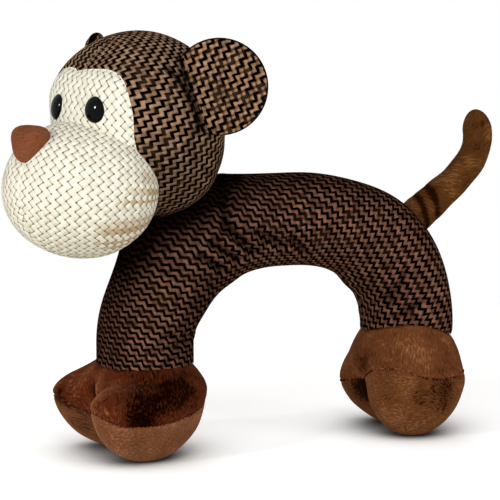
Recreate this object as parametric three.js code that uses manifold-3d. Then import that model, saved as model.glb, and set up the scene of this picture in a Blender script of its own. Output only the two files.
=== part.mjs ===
// Plush monkey dog toy: an arched woven body on two double feet, a round head, two ears and a tail.
// Millimetres, +Z up. The toy looks along -X, its left side is -Y, and it stands on Z = 0.

import * as THREE from 'three';
import { mergeVertices } from 'three/addons/utils/BufferGeometryUtils.js';
import Module from 'manifold-3d';

// Cloth and fits
const WEAVE = 1.2;
const PLUSH = 2.0;
const GAP = 0.3;
const SEAT_GAP = 0.4;
const SOLE_FLAT = 1.0;

// Arched body: a tube whose centre line is half an oval between two short straight legs
const ARCH_RADIUS = 26.5;
const ARCH_HALF_SPAN = 83;
const ARCH_SPRING_Z = 62;
const ARCH_RISE = 66;
const FRONT_SQUARENESS = 2.0;
const REAR_SQUARENESS = 2.4;

// Feet: each ankle carries two egg-shaped lobes side by side, split by a seam into upper and sole.
// A lobe is lobeDepth deep below its widest line and lobeCrown high above it.
const ANKLE_FLARE = 4.5;
const FRONT_FOOT = {
  ankleZ: 49, shoulderZ: 37.5, lobeLength: 76, lobeWidth: 44, lobeDepth: 35, lobeCrown: 12.5,
  lobeSpread: 44, toeReach: 6, toeTaper: 0, toeLift: -4, toeOut: 18, seamEndZ: 54, seamMidZ: 22,
};
const REAR_FOOT = {
  ankleZ: 60, shoulderZ: 46, lobeLength: 54, lobeWidth: 52, lobeDepth: 33.5, lobeCrown: 18,
  lobeSpread: 40, toeReach: 2, toeTaper: -0.06, toeLift: 0, toeOut: 0, seamEndZ: 26, seamMidZ: 40,
};

// Head: a round skull with a wide muzzle, turned a little to the toy's left
const HEAD_SEAT_ANGLE = 54.5;
const HEAD_TURN = 16;
const SKULL_RADIUS = 49;
const SKULL_HALF_HEIGHT = 52;
const FOREHEAD = { swell: 0.1, from: 0, to: 0.5 };
const MUZZLE = { front: 42, down: 33.5, halfLength: 41, halfWidth: 46, halfHeight: 38 };
const NOD_RANGE = 8;
const TURN_LEFT = 6;
const TURN_RIGHT = 38;
const NECK_RING_RADIUS = 20.5;
const NECK_RING_WIDTH = 2;
const NECK_THREAD = 0.9;

// Cream face patch: half width, top of its two lobes, and the notch between them
const FACE = { halfWidth: 36.5, top: 33, notch: 3.5, lobeOffset: 12, bottom: -16 };

// Oval safety eyes, locked by washers behind the cloth
const EYE = { side: 16.8, up: 12.7, halfWidth: 5.5, halfHeight: 7.3, dome: 4.5 };
const SHANK_RADIUS = 2;
const SHANK_LENGTH = 9;
const WASHER_RADIUS = 6;
const WASHER_THICKNESS = 1.5;

// Nose: a plump triangle on the upper front of the muzzle, lifted a little off its curve
const NOSE = { angle: 40.1, lift: 1.02, halfDepth: 10.5, halfWidth: 10.5, halfHeight: 11.5, taper: 0.5 };

// Ears: round padded discs, swept back and tilted up, folding along a straight root
const EAR_RADIUS = 26.5;
const EAR_HALF_THICKNESS = 5;
const EAR_ROOT_OFFSET = 0.53;
const EAR_ROOT_UP = 18.5;
const EAR_ROOT_BACK = 1.7;
const EAR_SWEEP = 49;
const EAR_TILT = 17.5;
const EAR_FOLD = 25;

// Tail: a curved padded tube on the rear shoulder
const TAIL_SEAT_ANGLE = 144;
const TAIL_TIP = new THREE.Vector3(131, 0, 187);
const TAIL_START_PULL = 36;
const TAIL_END_PULL = 30;
const TAIL_HALF_HEIGHT = 9.8;
const TAIL_HALF_WIDTH = 8;
const TAIL_WAG = 35;

// Squeaker in the muzzle: a thin bulb, a holder pressed into its mouth and a reed
const BULB = { radius: 19, halfHeight: 12, wall: 1, mouth: 7.5, collar: 4 };
const PLUG_LENGTH = 9;
const PLUG_BORE = 3.2;
const PLUG_FLANGE = 9.5;
const PLUG_FLANGE_THICKNESS = 1.4;
const REED_THICKNESS = 0.5;
const REED_LENGTH = 7;
const STUFFING_SLIT = 3;

// Smoothness of the round forms
const ROUND = 18;
const ROUND_RINGS = 12;
const TUBE_SIDES = 14;
const TUBE_STEPS = 16;
const SMALL_ROUND = 12;
const SMALL_RINGS = 8;

const rad = THREE.MathUtils.degToRad;
const wasm = await Module();
wasm.setup();

// A closed three.js geometry as a solid that can be joined and cut
function solid(geometry, matrix = new THREE.Matrix4()) {
  const bare = geometry.clone().applyMatrix4(matrix);
  bare.deleteAttribute('normal');
  bare.deleteAttribute('uv');
  const merged = mergeVertices(bare, 1e-4);
  return new wasm.Manifold(new wasm.Mesh({
    numProp: 3,
    vertProperties: new Float32Array(merged.attributes.position.array),
    triVerts: new Uint32Array(merged.index.array),
  }));
}

// A solid as a named mesh with a cloth or plastic look
function piece(name, body, look) {
  const { vertProperties, triVerts } = body.getMesh();
  const geometry = new THREE.BufferGeometry();
  geometry.setAttribute('position', new THREE.BufferAttribute(vertProperties, 3));
  geometry.setIndex(new THREE.BufferAttribute(triVerts, 1));
  geometry.computeVertexNormals();
  const mesh = new THREE.Mesh(geometry, new THREE.MeshStandardMaterial({ metalness: 0, ...look }));
  mesh.name = name;
  return mesh;
}

// An oval ball with its poles up and down
function ball(halfX, halfY, halfZ, sides = ROUND, rings = ROUND_RINGS) {
  const geometry = new THREE.SphereGeometry(1, sides, rings);
  geometry.rotateX(Math.PI / 2);
  geometry.scale(halfX, halfY, halfZ);
  return geometry;
}

// A straight round bar along Z between two heights
function bar(radius, low, high, sides = ROUND) {
  const geometry = new THREE.CylinderGeometry(radius, radius, high - low, sides);
  geometry.rotateX(Math.PI / 2);
  geometry.translate(0, 0, (low + high) / 2);
  return geometry;
}

// A block given by its lowest and highest corners
function block(low, high) {
  const size = new THREE.Vector3().subVectors(high, low);
  const geometry = new THREE.BoxGeometry(size.x, size.y, size.z);
  return geometry.translate((low.x + high.x) / 2, (low.y + high.y) / 2, (low.z + high.z) / 2);
}

// A tube through oval rings along a path in the XZ plane, closed with a fan at each end
function bentTube(stations) {
  const positions = [];
  const index = [];
  for (const { centre, along, halfSide, halfTop } of stations) {
    for (let i = 0; i < TUBE_SIDES; i++) {
      const angle = (2 * Math.PI * i) / TUBE_SIDES;
      const top = halfTop * Math.cos(angle);
      positions.push(centre.x - along.z * top, halfSide * Math.sin(angle), centre.z + along.x * top);
    }
  }
  for (let ring = 0; ring + 1 < stations.length; ring++) {
    for (let i = 0; i < TUBE_SIDES; i++) {
      const a = ring * TUBE_SIDES + i;
      const b = ring * TUBE_SIDES + ((i + 1) % TUBE_SIDES);
      index.push(a, b + TUBE_SIDES, b, a, a + TUBE_SIDES, b + TUBE_SIDES);
    }
  }
  const first = stations[0].centre;
  const last = stations[stations.length - 1].centre;
  const firstHub = stations.length * TUBE_SIDES;
  const lastRing = firstHub - TUBE_SIDES;
  positions.push(first.x, 0, first.z, last.x, 0, last.z);
  for (let i = 0; i < TUBE_SIDES; i++) {
    const next = (i + 1) % TUBE_SIDES;
    index.push(firstHub, i, next, firstHub + 1, lastRing + next, lastRing + i);
  }
  const geometry = new THREE.BufferGeometry();
  geometry.setAttribute('position', new THREE.Float32BufferAttribute(positions, 3));
  geometry.setIndex(index);
  return geometry;
}

// Rotation about a line through a point
function turnAbout(point, axis, angle) {
  const matrix = new THREE.Matrix4().makeTranslation(point.x, point.y, point.z);
  matrix.multiply(new THREE.Matrix4().makeRotationAxis(axis, angle));
  return matrix.multiply(new THREE.Matrix4().makeTranslation(-point.x, -point.y, -point.z));
}

// Arched body

// Centre line of the arch: 0 degrees at the front spring line, 180 at the rear one
function archCentre(degrees) {
  const c = Math.cos(rad(degrees));
  const power = 2 / (c > 0 ? FRONT_SQUARENESS : REAR_SQUARENESS);
  const x = -ARCH_HALF_SPAN * Math.sign(c) * Math.abs(c) ** power;
  return new THREE.Vector3(x, 0, ARCH_SPRING_Z + ARCH_RISE * Math.sin(rad(degrees)) ** power);
}

// Direction of the centre line, and the outward direction square to it
function archAlong(degrees) {
  const step = new THREE.Vector3().subVectors(archCentre(degrees + 0.5), archCentre(degrees - 0.5));
  return step.normalize();
}

function archOut(degrees) {
  const along = archAlong(degrees);
  return new THREE.Vector3(-along.z, 0, along.x);
}

// Tube of the arch from ankle to ankle; a positive end runs past the ankles
function archTube(radius, end) {
  const stations = [];
  const add = (centre, along) => stations.push({ centre, along, halfSide: radius, halfTop: radius });
  const up = new THREE.Vector3(0, 0, 1);
  const down = new THREE.Vector3(0, 0, -1);
  add(new THREE.Vector3(-ARCH_HALF_SPAN, 0, FRONT_FOOT.ankleZ - end), up);
  for (let step = 1; step < TUBE_STEPS; step++) {
    const degrees = (180 * step) / TUBE_STEPS;
    add(archCentre(degrees), archAlong(degrees));
  }
  add(new THREE.Vector3(ARCH_HALF_SPAN, 0, REAR_FOOT.ankleZ - end), down);
  return solid(bentTube(stations));
}

// Head frame: front, left and up of the head as a point in its own axes

const at = (front, left, up) => new THREE.Vector3(-front, -left, up);

// The skull touches the front shoulder: its centre follows from the seat angle
const seatOut = archOut(HEAD_SEAT_ANGLE);
const neck = archCentre(HEAD_SEAT_ANGLE).addScaledVector(seatOut, ARCH_RADIUS);
const seatReach = Math.hypot(SKULL_RADIUS * seatOut.x, SKULL_HALF_HEIGHT * seatOut.z);
const headCentre = neck.clone().addScaledVector(seatOut, SEAT_GAP);
headCentre.x += (SKULL_RADIUS ** 2 * seatOut.x) / seatReach;
headCentre.z += (SKULL_HALF_HEIGHT ** 2 * seatOut.z) / seatReach;
const neckAxis = new THREE.Vector3().subVectors(headCentre, neck).normalize();
const nodAxis = new THREE.Vector3(0, -1, 0);
const headMatrix = new THREE.Matrix4().makeRotationZ(rad(HEAD_TURN)).setPosition(headCentre);

// How far the two corners of the forehead stand out from an oval, for a point of a unit ball
function foreheadSwell(x, y, z) {
  const flat = x * x + y * y;
  if (x >= 0 || flat === 0) return 1;
  const corner = (4 * x * x * y * y) / (flat * flat);
  return 1 + FOREHEAD.swell * corner * THREE.MathUtils.smoothstep(z, FOREHEAD.from, FOREHEAD.to);
}

function skullShape(grow) {
  const geometry = ball(1, 1, 1);
  const points = geometry.attributes.position;
  for (let i = 0; i < points.count; i++) {
    const [x, y, z] = [points.getX(i), points.getY(i), points.getZ(i)];
    const swell = foreheadSwell(x, y, z);
    points.setXYZ(i, x * swell, y * swell, z);
  }
  return geometry.scale(SKULL_RADIUS + grow, SKULL_RADIUS + grow, SKULL_HALF_HEIGHT + grow);
}

const skull = (grow) => solid(skullShape(grow));

function muzzle(grow) {
  const shape = ball(MUZZLE.halfLength + grow, MUZZLE.halfWidth + grow, MUZZLE.halfHeight + grow);
  return solid(shape.translate(-MUZZLE.front, 0, -MUZZLE.down));
}

// Body pieces: the shoulder is dished where the head rolls on it

function headSweep() {
  let sweep = null;
  for (const nod of [-NOD_RANGE, 0, NOD_RANGE]) {
    for (const turn of [-TURN_RIGHT, TURN_LEFT]) {
      const matrix = turnAbout(neck, nodAxis, rad(nod));
      matrix.multiply(turnAbout(neck, neckAxis, rad(turn))).multiply(headMatrix);
      const posed = solid(skullShape(SEAT_GAP), matrix);
      sweep = sweep ? sweep.add(posed) : posed;
    }
  }
  return sweep;
}

const bodySleeve = archTube(ARCH_RADIUS, -GAP)
  .subtract(archTube(ARCH_RADIUS - WEAVE, 1))
  .subtract(headSweep());
const bodyFilling = archTube(ARCH_RADIUS - WEAVE - GAP, -2 * GAP);

// Neck thread: a flat turned ring under the skull, round the line that the head turns on
function neckThread() {
  const reach = Math.max(SKULL_RADIUS, SKULL_HALF_HEIGHT) + GAP;
  const inner = NECK_RING_RADIUS - NECK_RING_WIDTH / 2;
  const outer = NECK_RING_RADIUS + NECK_RING_WIDTH / 2;
  const innerTop = -Math.sqrt(reach ** 2 - inner ** 2);
  const outerTop = -Math.sqrt(reach ** 2 - outer ** 2);
  const profile = [
    new THREE.Vector2(inner, innerTop - NECK_THREAD),
    new THREE.Vector2(outer, outerTop - NECK_THREAD),
    new THREE.Vector2(outer, outerTop),
    new THREE.Vector2(inner, innerTop),
    new THREE.Vector2(inner, innerTop - NECK_THREAD),
  ];
  const lean = new THREE.Quaternion().setFromUnitVectors(new THREE.Vector3(0, 0, 1), neckAxis);
  const frame = new THREE.Matrix4().makeRotationFromQuaternion(lean).setPosition(headCentre);
  return solid(new THREE.LatheGeometry(profile, 2 * ROUND).rotateX(Math.PI / 2), frame);
}

// Feet, in a frame with the leg's axis at X = 0 and the toes along -X

// An egg about the origin, deeper below than above, with its toe end narrowed and lifted
function egg(foot, grow) {
  const halfLength = foot.lobeLength / 2 + grow;
  const geometry = new THREE.SphereGeometry(1, SMALL_ROUND, SMALL_RINGS);
  geometry.rotateZ(Math.PI / 2);
  const points = geometry.attributes.position;
  for (let i = 0; i < points.count; i++) {
    const narrow = 1 + foot.toeTaper * points.getX(i);
    const half = (points.getZ(i) < 0 ? foot.lobeDepth : foot.lobeCrown) + grow;
    points.setXYZ(i, points.getX(i), points.getY(i) * narrow, points.getZ(i) * narrow * half);
  }
  geometry.scale(halfLength, foot.lobeWidth / 2 + grow, 1);
  geometry.rotateY(rad(foot.toeLift));
  geometry.computeBoundingBox();
  return geometry;
}

// One lobe, low enough for the floor to cut its sole flat
function lobe(foot, side, grow) {
  const height = -egg(foot, 0).boundingBox.min.z - SOLE_FLAT;
  const turned = egg(foot, grow).rotateZ(rad(-side * foot.toeOut));
  return solid(turned.translate(-foot.toeReach, (side * foot.lobeSpread) / 2, height));
}

// The leg's round end between the lobes: it flares below the ankle and is closed by a dome
function ankle(foot, grow, top) {
  const radius = ARCH_RADIUS + ANKLE_FLARE + grow;
  const low = foot.lobeDepth / 3 - grow;
  const shoulder = foot.shoulderZ;
  const profile = [];
  for (let step = 0; step <= 5; step++) {
    const angle = (Math.PI / 2) * (step / 5);
    profile.push(new THREE.Vector2(radius * Math.sin(angle), shoulder - (shoulder - low) * Math.cos(angle)));
  }
  profile[0].x = 0;
  profile.push(new THREE.Vector2(ARCH_RADIUS + grow, foot.ankleZ));
  if (top !== foot.ankleZ) profile.push(new THREE.Vector2(ARCH_RADIUS + grow, top));
  profile.push(new THREE.Vector2(0, top));
  return solid(new THREE.LatheGeometry(profile, TUBE_SIDES).rotateX(Math.PI / 2));
}

function footForm(foot, grow, top) {
  return lobe(foot, -1, grow).add(lobe(foot, 1, grow)).add(ankle(foot, grow, top));
}

// The space above or below the curved seam; shift moves the seam up
function seamSide(foot, shift, outerZ) {
  const heel = foot.lobeLength;
  const middle = -foot.toeReach;
  const endZ = foot.seamEndZ + shift;
  const profile = new THREE.Shape();
  profile.moveTo(middle - heel, endZ);
  profile.quadraticCurveTo(middle, 2 * (foot.seamMidZ + shift) - endZ, middle + heel, endZ);
  profile.lineTo(middle + heel, outerZ);
  profile.lineTo(middle - heel, outerZ);
  const width = foot.lobeSpread + 2 * foot.lobeWidth;
  const cut = { depth: width, bevelEnabled: false, curveSegments: 6 };
  const geometry = new THREE.ExtrudeGeometry(profile, cut);
  return solid(geometry.rotateX(Math.PI / 2).translate(0, width / 2, 0));
}

function footPieces(foot) {
  const reach = foot.lobeLength * 2;
  const ground = solid(block(new THREE.Vector3(-reach, -reach, -reach), new THREE.Vector3(reach, reach, 0)));
  const leg = solid(bar(ARCH_RADIUS + PLUSH, foot.ankleZ, foot.ankleZ + ARCH_RISE, TUBE_SIDES));
  const outer = footForm(foot, 0, foot.ankleZ).subtract(ground).subtract(leg);
  const cover = outer.subtract(footForm(foot, -PLUSH, foot.ankleZ + 1));
  const high = foot.ankleZ + ARCH_RISE;
  return {
    upper: cover.intersect(seamSide(foot, GAP / 2, high)),
    sole: cover.intersect(seamSide(foot, -GAP / 2, -high)),
    filling: footForm(foot, -PLUSH - GAP, foot.ankleZ),
  };
}

// Head panels

// Outline of the face patch seen from the front, as a bar running through the front of the skull
function faceBar(grow) {
  const side = FACE.halfWidth + grow;
  const top = FACE.top + grow;
  const low = FACE.bottom - grow;
  const outline = new THREE.Shape();
  outline.moveTo(-side, low);
  outline.lineTo(-side, FACE.top * 0.2);
  outline.bezierCurveTo(-side, top * 0.7, -side * 0.75, top, -FACE.lobeOffset, top);
  outline.quadraticCurveTo(-FACE.lobeOffset / 3, top, 0, top - FACE.notch);
  outline.quadraticCurveTo(FACE.lobeOffset / 3, top, FACE.lobeOffset, top);
  outline.bezierCurveTo(side * 0.75, top, side, top * 0.7, side, FACE.top * 0.2);
  outline.lineTo(side, low);
  const depth = SKULL_RADIUS;
  const geometry = new THREE.ExtrudeGeometry(outline, { depth, bevelEnabled: false, curveSegments: 5 });
  const frame = new THREE.Matrix4().makeBasis(
    new THREE.Vector3(0, -1, 0), new THREE.Vector3(0, 0, 1), new THREE.Vector3(-1, 0, 0),
  ).setPosition(-SKULL_RADIUS / 6, 0, 0);
  return solid(geometry, frame);
}

// The half of the head's space on its left or right side, short of the middle seam
function headHalf(left) {
  const reach = 3 * SKULL_RADIUS;
  const low = left ? -reach : GAP / 2;
  const high = left ? -GAP / 2 : reach;
  return solid(block(new THREE.Vector3(-reach, low, -reach), new THREE.Vector3(reach, high, reach)));
}

// Eye frame: Z straight out of the skull, Y up along it
function eyeFrame(side) {
  const up = EYE.up / SKULL_HALF_HEIGHT;
  let across = EYE.side / SKULL_RADIUS;
  let front = Math.sqrt(1 - across ** 2 - up ** 2);
  for (let step = 0; step < 4; step++) {
    across = EYE.side / SKULL_RADIUS / foreheadSwell(-front, across, up);
    front = Math.sqrt(1 - across ** 2 - up ** 2);
  }
  const swell = foreheadSwell(-front, across, up);
  const place = at(SKULL_RADIUS * swell * front, side * EYE.side, EYE.up);
  const out = new THREE.Vector3(
    place.x / SKULL_RADIUS ** 2, place.y / SKULL_RADIUS ** 2, place.z / SKULL_HALF_HEIGHT ** 2,
  ).normalize();
  const right = new THREE.Vector3(0, 0, 1).cross(out).normalize();
  const upright = new THREE.Vector3().crossVectors(out, right);
  return new THREE.Matrix4().makeBasis(right, upright, out).setPosition(place);
}

// Depth of the washer's face below the cloth's outside, clear of the cloth's curve and its flat facets
const facetShare = 2 - Math.cos(Math.PI / ROUND) - Math.cos(Math.PI / (2 * ROUND_RINGS));
const facetDepth = SKULL_HALF_HEIGHT * facetShare;
const washerSeat = WEAVE + GAP + facetDepth + WASHER_RADIUS ** 2 / (2 * SKULL_RADIUS);

function eyePieces(side) {
  const frame = eyeFrame(side);
  const oval = ball(EYE.halfWidth, EYE.halfHeight, EYE.dome, SMALL_ROUND, SMALL_RINGS);
  const dome = solid(oval, frame).subtract(skull(GAP));
  const shank = solid(bar(SHANK_RADIUS, -SHANK_LENGTH, EYE.dome / 2, SMALL_RINGS), frame);
  const low = -washerSeat - WASHER_THICKNESS;
  const hole = solid(bar(SHANK_RADIUS + GAP, -SHANK_LENGTH - GAP, EYE.dome, SMALL_RINGS), frame);
  const pocket = solid(bar(WASHER_RADIUS + GAP, low - GAP, EYE.dome, SMALL_ROUND), frame);
  return {
    eye: dome.add(shank),
    washer: solid(bar(WASHER_RADIUS, low, -washerSeat, SMALL_ROUND), frame).subtract(hole),
    hole,
    pocket,
  };
}

// Squeaker, standing on end in the middle of the muzzle

const squeakerFrame = new THREE.Matrix4().setPosition(at(MUZZLE.front, 0, -MUZZLE.down));
const collarTop = BULB.halfHeight + BULB.collar;

// Outside of the bulb as a turned profile, from its bottom to the top of its collar
function bulbProfile(grow, collar = BULB.mouth + BULB.wall + grow) {
  const radius = BULB.radius + grow;
  const half = BULB.halfHeight + grow;
  const meet = Math.asin(collar / radius);
  const profile = [];
  for (let step = 0; step <= SMALL_RINGS; step++) {
    const angle = (Math.PI - meet) * (step / SMALL_RINGS);
    profile.push(new THREE.Vector2(radius * Math.sin(angle), -half * Math.cos(angle)));
  }
  profile[0].x = 0;
  profile.push(new THREE.Vector2(collar, collarTop));
  return profile;
}

function squeakerBulb() {
  const outside = [...bulbProfile(0), new THREE.Vector2(0, collarTop)];
  const inside = [...bulbProfile(-BULB.wall)];
  inside[inside.length - 1].y = collarTop + 1;
  inside.push(new THREE.Vector2(0, collarTop + 1));
  const turned = (points) => new THREE.LatheGeometry(points, SMALL_ROUND).rotateX(Math.PI / 2);
  return solid(turned(outside), squeakerFrame).subtract(solid(turned(inside), squeakerFrame));
}

function squeakerPlug() {
  const low = collarTop + GAP + PLUG_FLANGE_THICKNESS - PLUG_LENGTH;
  const high = collarTop + GAP + PLUG_FLANGE_THICKNESS;
  const profile = [
    new THREE.Vector2(PLUG_BORE, low),
    new THREE.Vector2(BULB.mouth - GAP, low),
    new THREE.Vector2(BULB.mouth - GAP, collarTop + GAP),
    new THREE.Vector2(PLUG_FLANGE, collarTop + GAP),
    new THREE.Vector2(PLUG_FLANGE, high),
    new THREE.Vector2(PLUG_BORE, high),
    new THREE.Vector2(PLUG_BORE, low),
  ];
  return solid(new THREE.LatheGeometry(profile, SMALL_ROUND).rotateX(Math.PI / 2), squeakerFrame);
}

function squeakerReed() {
  const half = Math.sqrt((PLUG_BORE - GAP) ** 2 - REED_THICKNESS ** 2) * Math.cos(Math.PI / SMALL_ROUND);
  const high = collarTop + GAP + PLUG_FLANGE_THICKNESS - GAP;
  const low = new THREE.Vector3(-half, -REED_THICKNESS / 2, high - REED_LENGTH);
  return solid(block(low, new THREE.Vector3(half, REED_THICKNESS / 2, high)), squeakerFrame);
}

// Hollow in the stuffing: room for the bulb, the holder's travel and the slit that they were pushed in by
function squeakerHollow() {
  const outline = bulbProfile(2 * GAP, PLUG_FLANGE + GAP);
  const flangeTop = collarTop + PLUG_FLANGE_THICKNESS + 2 * GAP;
  outline[outline.length - 1].y = flangeTop;
  outline.push(new THREE.Vector2(0, flangeTop));
  const room = solid(new THREE.LatheGeometry(outline, SMALL_ROUND).rotateX(Math.PI / 2), squeakerFrame);
  const low = new THREE.Vector3(-STUFFING_SLIT / 2, -BULB.radius * 0.8, -2 * MUZZLE.halfHeight);
  const slit = block(low, new THREE.Vector3(STUFFING_SLIT / 2, BULB.radius * 0.8, 0));
  return room.add(solid(slit, squeakerFrame));
}

// Nose: an oval ball drawn in toward the bottom, cut to sit on the muzzle
function noseForm(grow) {
  const geometry = ball(1, 1, 1, SMALL_ROUND, SMALL_RINGS);
  const points = geometry.attributes.position;
  for (let i = 0; i < points.count; i++) {
    const narrow = 1 + NOSE.taper * points.getZ(i);
    points.setXYZ(i, points.getX(i), points.getY(i) * narrow, points.getZ(i));
  }
  geometry.scale(NOSE.halfDepth + grow, NOSE.halfWidth + grow, NOSE.halfHeight + grow);
  const front = MUZZLE.front + MUZZLE.halfLength * NOSE.lift * Math.cos(rad(NOSE.angle));
  const down = MUZZLE.down - MUZZLE.halfHeight * NOSE.lift * Math.sin(rad(NOSE.angle));
  return solid(geometry.translate(-front, 0, -down));
}

const noseSeat = muzzle(GAP).add(skull(GAP));
const noseCover = noseForm(0).subtract(noseForm(-PLUSH)).subtract(noseSeat);
const noseFilling = noseForm(-PLUSH - GAP).subtract(noseSeat);

const eyeLeft = eyePieces(1);
const eyeRight = eyePieces(-1);
const skullCover = skull(0).subtract(skull(-WEAVE)).subtract(muzzle(GAP));
const facePatch = skullCover.intersect(faceBar(0)).subtract(eyeLeft.hole).subtract(eyeRight.hole);
const crown = skullCover.subtract(faceBar(GAP));
const muzzleCover = muzzle(0).subtract(muzzle(-WEAVE)).subtract(skull(GAP));
const headFilling = skull(-WEAVE - GAP).add(muzzle(-WEAVE - GAP))
  .subtract(squeakerHollow())
  .subtract(eyeLeft.hole).subtract(eyeLeft.pocket)
  .subtract(eyeRight.hole).subtract(eyeRight.pocket);

// Ears, in the head's frame

// Ear frame: X out along the ear, Y up along its root, Z out of its front face; the origin is on the root
function earFrame(side) {
  const square = 1 - (EAR_ROOT_BACK / SKULL_RADIUS) ** 2 - (EAR_ROOT_UP / SKULL_HALF_HEIGHT) ** 2;
  const root = at(-EAR_ROOT_BACK, side * SKULL_RADIUS * Math.sqrt(square), EAR_ROOT_UP);
  const sweep = rad(EAR_SWEEP);
  const face = at(Math.cos(sweep), side * Math.sin(sweep), 0);
  const back = at(-Math.sin(sweep), side * Math.cos(sweep), 0);
  const out = back.clone().multiplyScalar(Math.cos(rad(EAR_TILT)));
  out.z = Math.sin(rad(EAR_TILT));
  const up = new THREE.Vector3().crossVectors(face, out);
  return { root, up, matrix: new THREE.Matrix4().makeBasis(out, up, face).setPosition(root) };
}

function earPieces(side) {
  const { root, up, matrix } = earFrame(side);
  const offset = EAR_ROOT_OFFSET * EAR_RADIUS;
  const lens = (grow) => {
    const disc = ball(EAR_RADIUS + grow, EAR_RADIUS + grow, EAR_HALF_THICKNESS + grow, ROUND, SMALL_RINGS);
    return solid(disc.translate(offset, 0, 0), matrix);
  };
  // The root is drawn in so that the ear can fold both ways over the skull
  let room = skull(SEAT_GAP);
  for (const fold of [-EAR_FOLD, EAR_FOLD]) {
    room = room.add(solid(skullShape(SEAT_GAP), turnAbout(root, up, rad(fold))));
  }
  const reach = 3 * EAR_RADIUS;
  const corner = (x, z) => new THREE.Vector3(x, x, z);
  const frontSpace = solid(block(corner(-reach, GAP / 2), corner(reach, reach)), matrix);
  const backSpace = solid(block(corner(-reach, -reach), corner(reach, -GAP / 2)), matrix);
  const cover = lens(0).subtract(lens(-WEAVE)).subtract(room);
  return {
    front: cover.intersect(frontSpace),
    back: cover.intersect(backSpace),
    wadding: lens(-WEAVE - GAP).subtract(room),
  };
}

// Tail

const tailOut = archOut(TAIL_SEAT_ANGLE);
const tailRoot = archCentre(TAIL_SEAT_ANGLE).addScaledVector(tailOut, ARCH_RADIUS);
const tailWagAxis = archAlong(TAIL_SEAT_ANGLE);

function tailForm(grow) {
  const start = tailRoot.clone().addScaledVector(tailOut, -TAIL_HALF_HEIGHT);
  const pull = TAIL_HALF_HEIGHT + TAIL_START_PULL;
  const curve = new THREE.CubicBezierCurve3(
    start,
    start.clone().addScaledVector(tailOut, pull),
    TAIL_TIP.clone().add(new THREE.Vector3(TAIL_END_PULL / 4, 0, -TAIL_END_PULL)),
    TAIL_TIP,
  );
  const stations = [];
  const length = curve.getLength();
  const tipShare = TAIL_HALF_HEIGHT / length;
  for (let step = 0; step <= 10; step++) {
    const tipStep = Math.sin(rad(28 * Math.max(0, step - 7)));
    const share = (1 - tipShare) * Math.min(1, step / 7) + tipShare * tipStep;
    const past = Math.max(0, (share - 1 + tipShare) / tipShare);
    const round = Math.sqrt(Math.max(0.01, 1 - past * past));
    stations.push({
      centre: curve.getPointAt(share).addScaledVector(curve.getTangentAt(share), past * grow),
      along: curve.getTangentAt(share),
      halfSide: (TAIL_HALF_WIDTH + grow) * round,
      halfTop: (TAIL_HALF_HEIGHT + grow) * round,
    });
  }
  return solid(bentTube(stations));
}

// Room at the tail's root so that it can wag to both sides over the arch
function tailRoom() {
  let room = archTube(ARCH_RADIUS + SEAT_GAP, 0);
  for (const wag of [-TAIL_WAG, TAIL_WAG]) {
    const stations = [];
    const radius = ARCH_RADIUS + SEAT_GAP;
    for (let degrees = TAIL_SEAT_ANGLE - 30; degrees <= TAIL_SEAT_ANGLE + 30; degrees += 10) {
      const [centre, along] = [archCentre(degrees), archAlong(degrees)];
      stations.push({ centre, along, halfSide: radius, halfTop: radius });
    }
    room = room.add(solid(bentTube(stations), turnAbout(tailRoot, tailWagAxis, rad(wag))));
  }
  return room;
}

const tailSpace = tailRoom();
const tailCover = tailForm(0).subtract(tailForm(-PLUSH)).subtract(tailSpace);
const tailFilling = tailForm(-PLUSH - GAP).subtract(tailSpace);

// Looks

const brownWeave = { color: 0x4a2c1a, roughness: 0.9 };
const creamWeave = { color: 0xe6dcc6, roughness: 0.9 };
const darkPlush = { color: 0x3a1c12, roughness: 1 };
const tanPlush = { color: 0x86583a, roughness: 1 };
const nosePlush = { color: 0x5c3520, roughness: 1 };
const fibre = { color: 0xf2f0ea, roughness: 1 };
const gloss = { color: 0x070606, roughness: 0.08 };
const plainPlastic = { color: 0xe9e9e6, roughness: 0.5 };
const thread = { color: 0x2a1710, roughness: 0.8 };

// The toy

const toy = new THREE.Group();
toy.name = 'plush_monkey';

const body = new THREE.Group();
body.add(piece('body_sleeve', bodySleeve, brownWeave));
body.add(piece('body_filling', bodyFilling, fibre));
body.add(piece('neck_thread', neckThread(), thread));
body.add(piece('tail_cover', tailCover, darkPlush));
body.add(piece('tail_filling', tailFilling, fibre));
toy.add(body);

const footPlaces = [['front_foot', FRONT_FOOT, -ARCH_HALF_SPAN], ['rear_foot', REAR_FOOT, ARCH_HALF_SPAN]];
for (const [name, foot, x] of footPlaces) {
  const { upper, sole, filling } = footPieces(foot);
  const group = new THREE.Group();
  group.add(piece(`${name}_upper`, upper, darkPlush));
  group.add(piece(`${name}_sole`, sole, tanPlush));
  group.add(piece(`${name}_filling`, filling, fibre));
  group.position.x = x;
  toy.add(group);
}

const head = new THREE.Group();
head.add(piece('crown_left', crown.intersect(headHalf(true)), brownWeave));
head.add(piece('crown_right', crown.intersect(headHalf(false)), brownWeave));
head.add(piece('face_patch', facePatch, creamWeave));
head.add(piece('muzzle_left', muzzleCover.intersect(headHalf(true)), creamWeave));
head.add(piece('muzzle_right', muzzleCover.intersect(headHalf(false)), creamWeave));
head.add(piece('head_filling', headFilling, fibre));
head.add(piece('eye_left', eyeLeft.eye, gloss));
head.add(piece('eye_right', eyeRight.eye, gloss));
head.add(piece('eye_washer_left', eyeLeft.washer, plainPlastic));
head.add(piece('eye_washer_right', eyeRight.washer, plainPlastic));
head.add(piece('nose_cover', noseCover, nosePlush));
head.add(piece('nose_filling', noseFilling, fibre));
head.add(piece('squeaker_bulb', squeakerBulb(), plainPlastic));
head.add(piece('squeaker_plug', squeakerPlug(), plainPlastic));
head.add(piece('squeaker_reed', squeakerReed(), plainPlastic));
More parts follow.
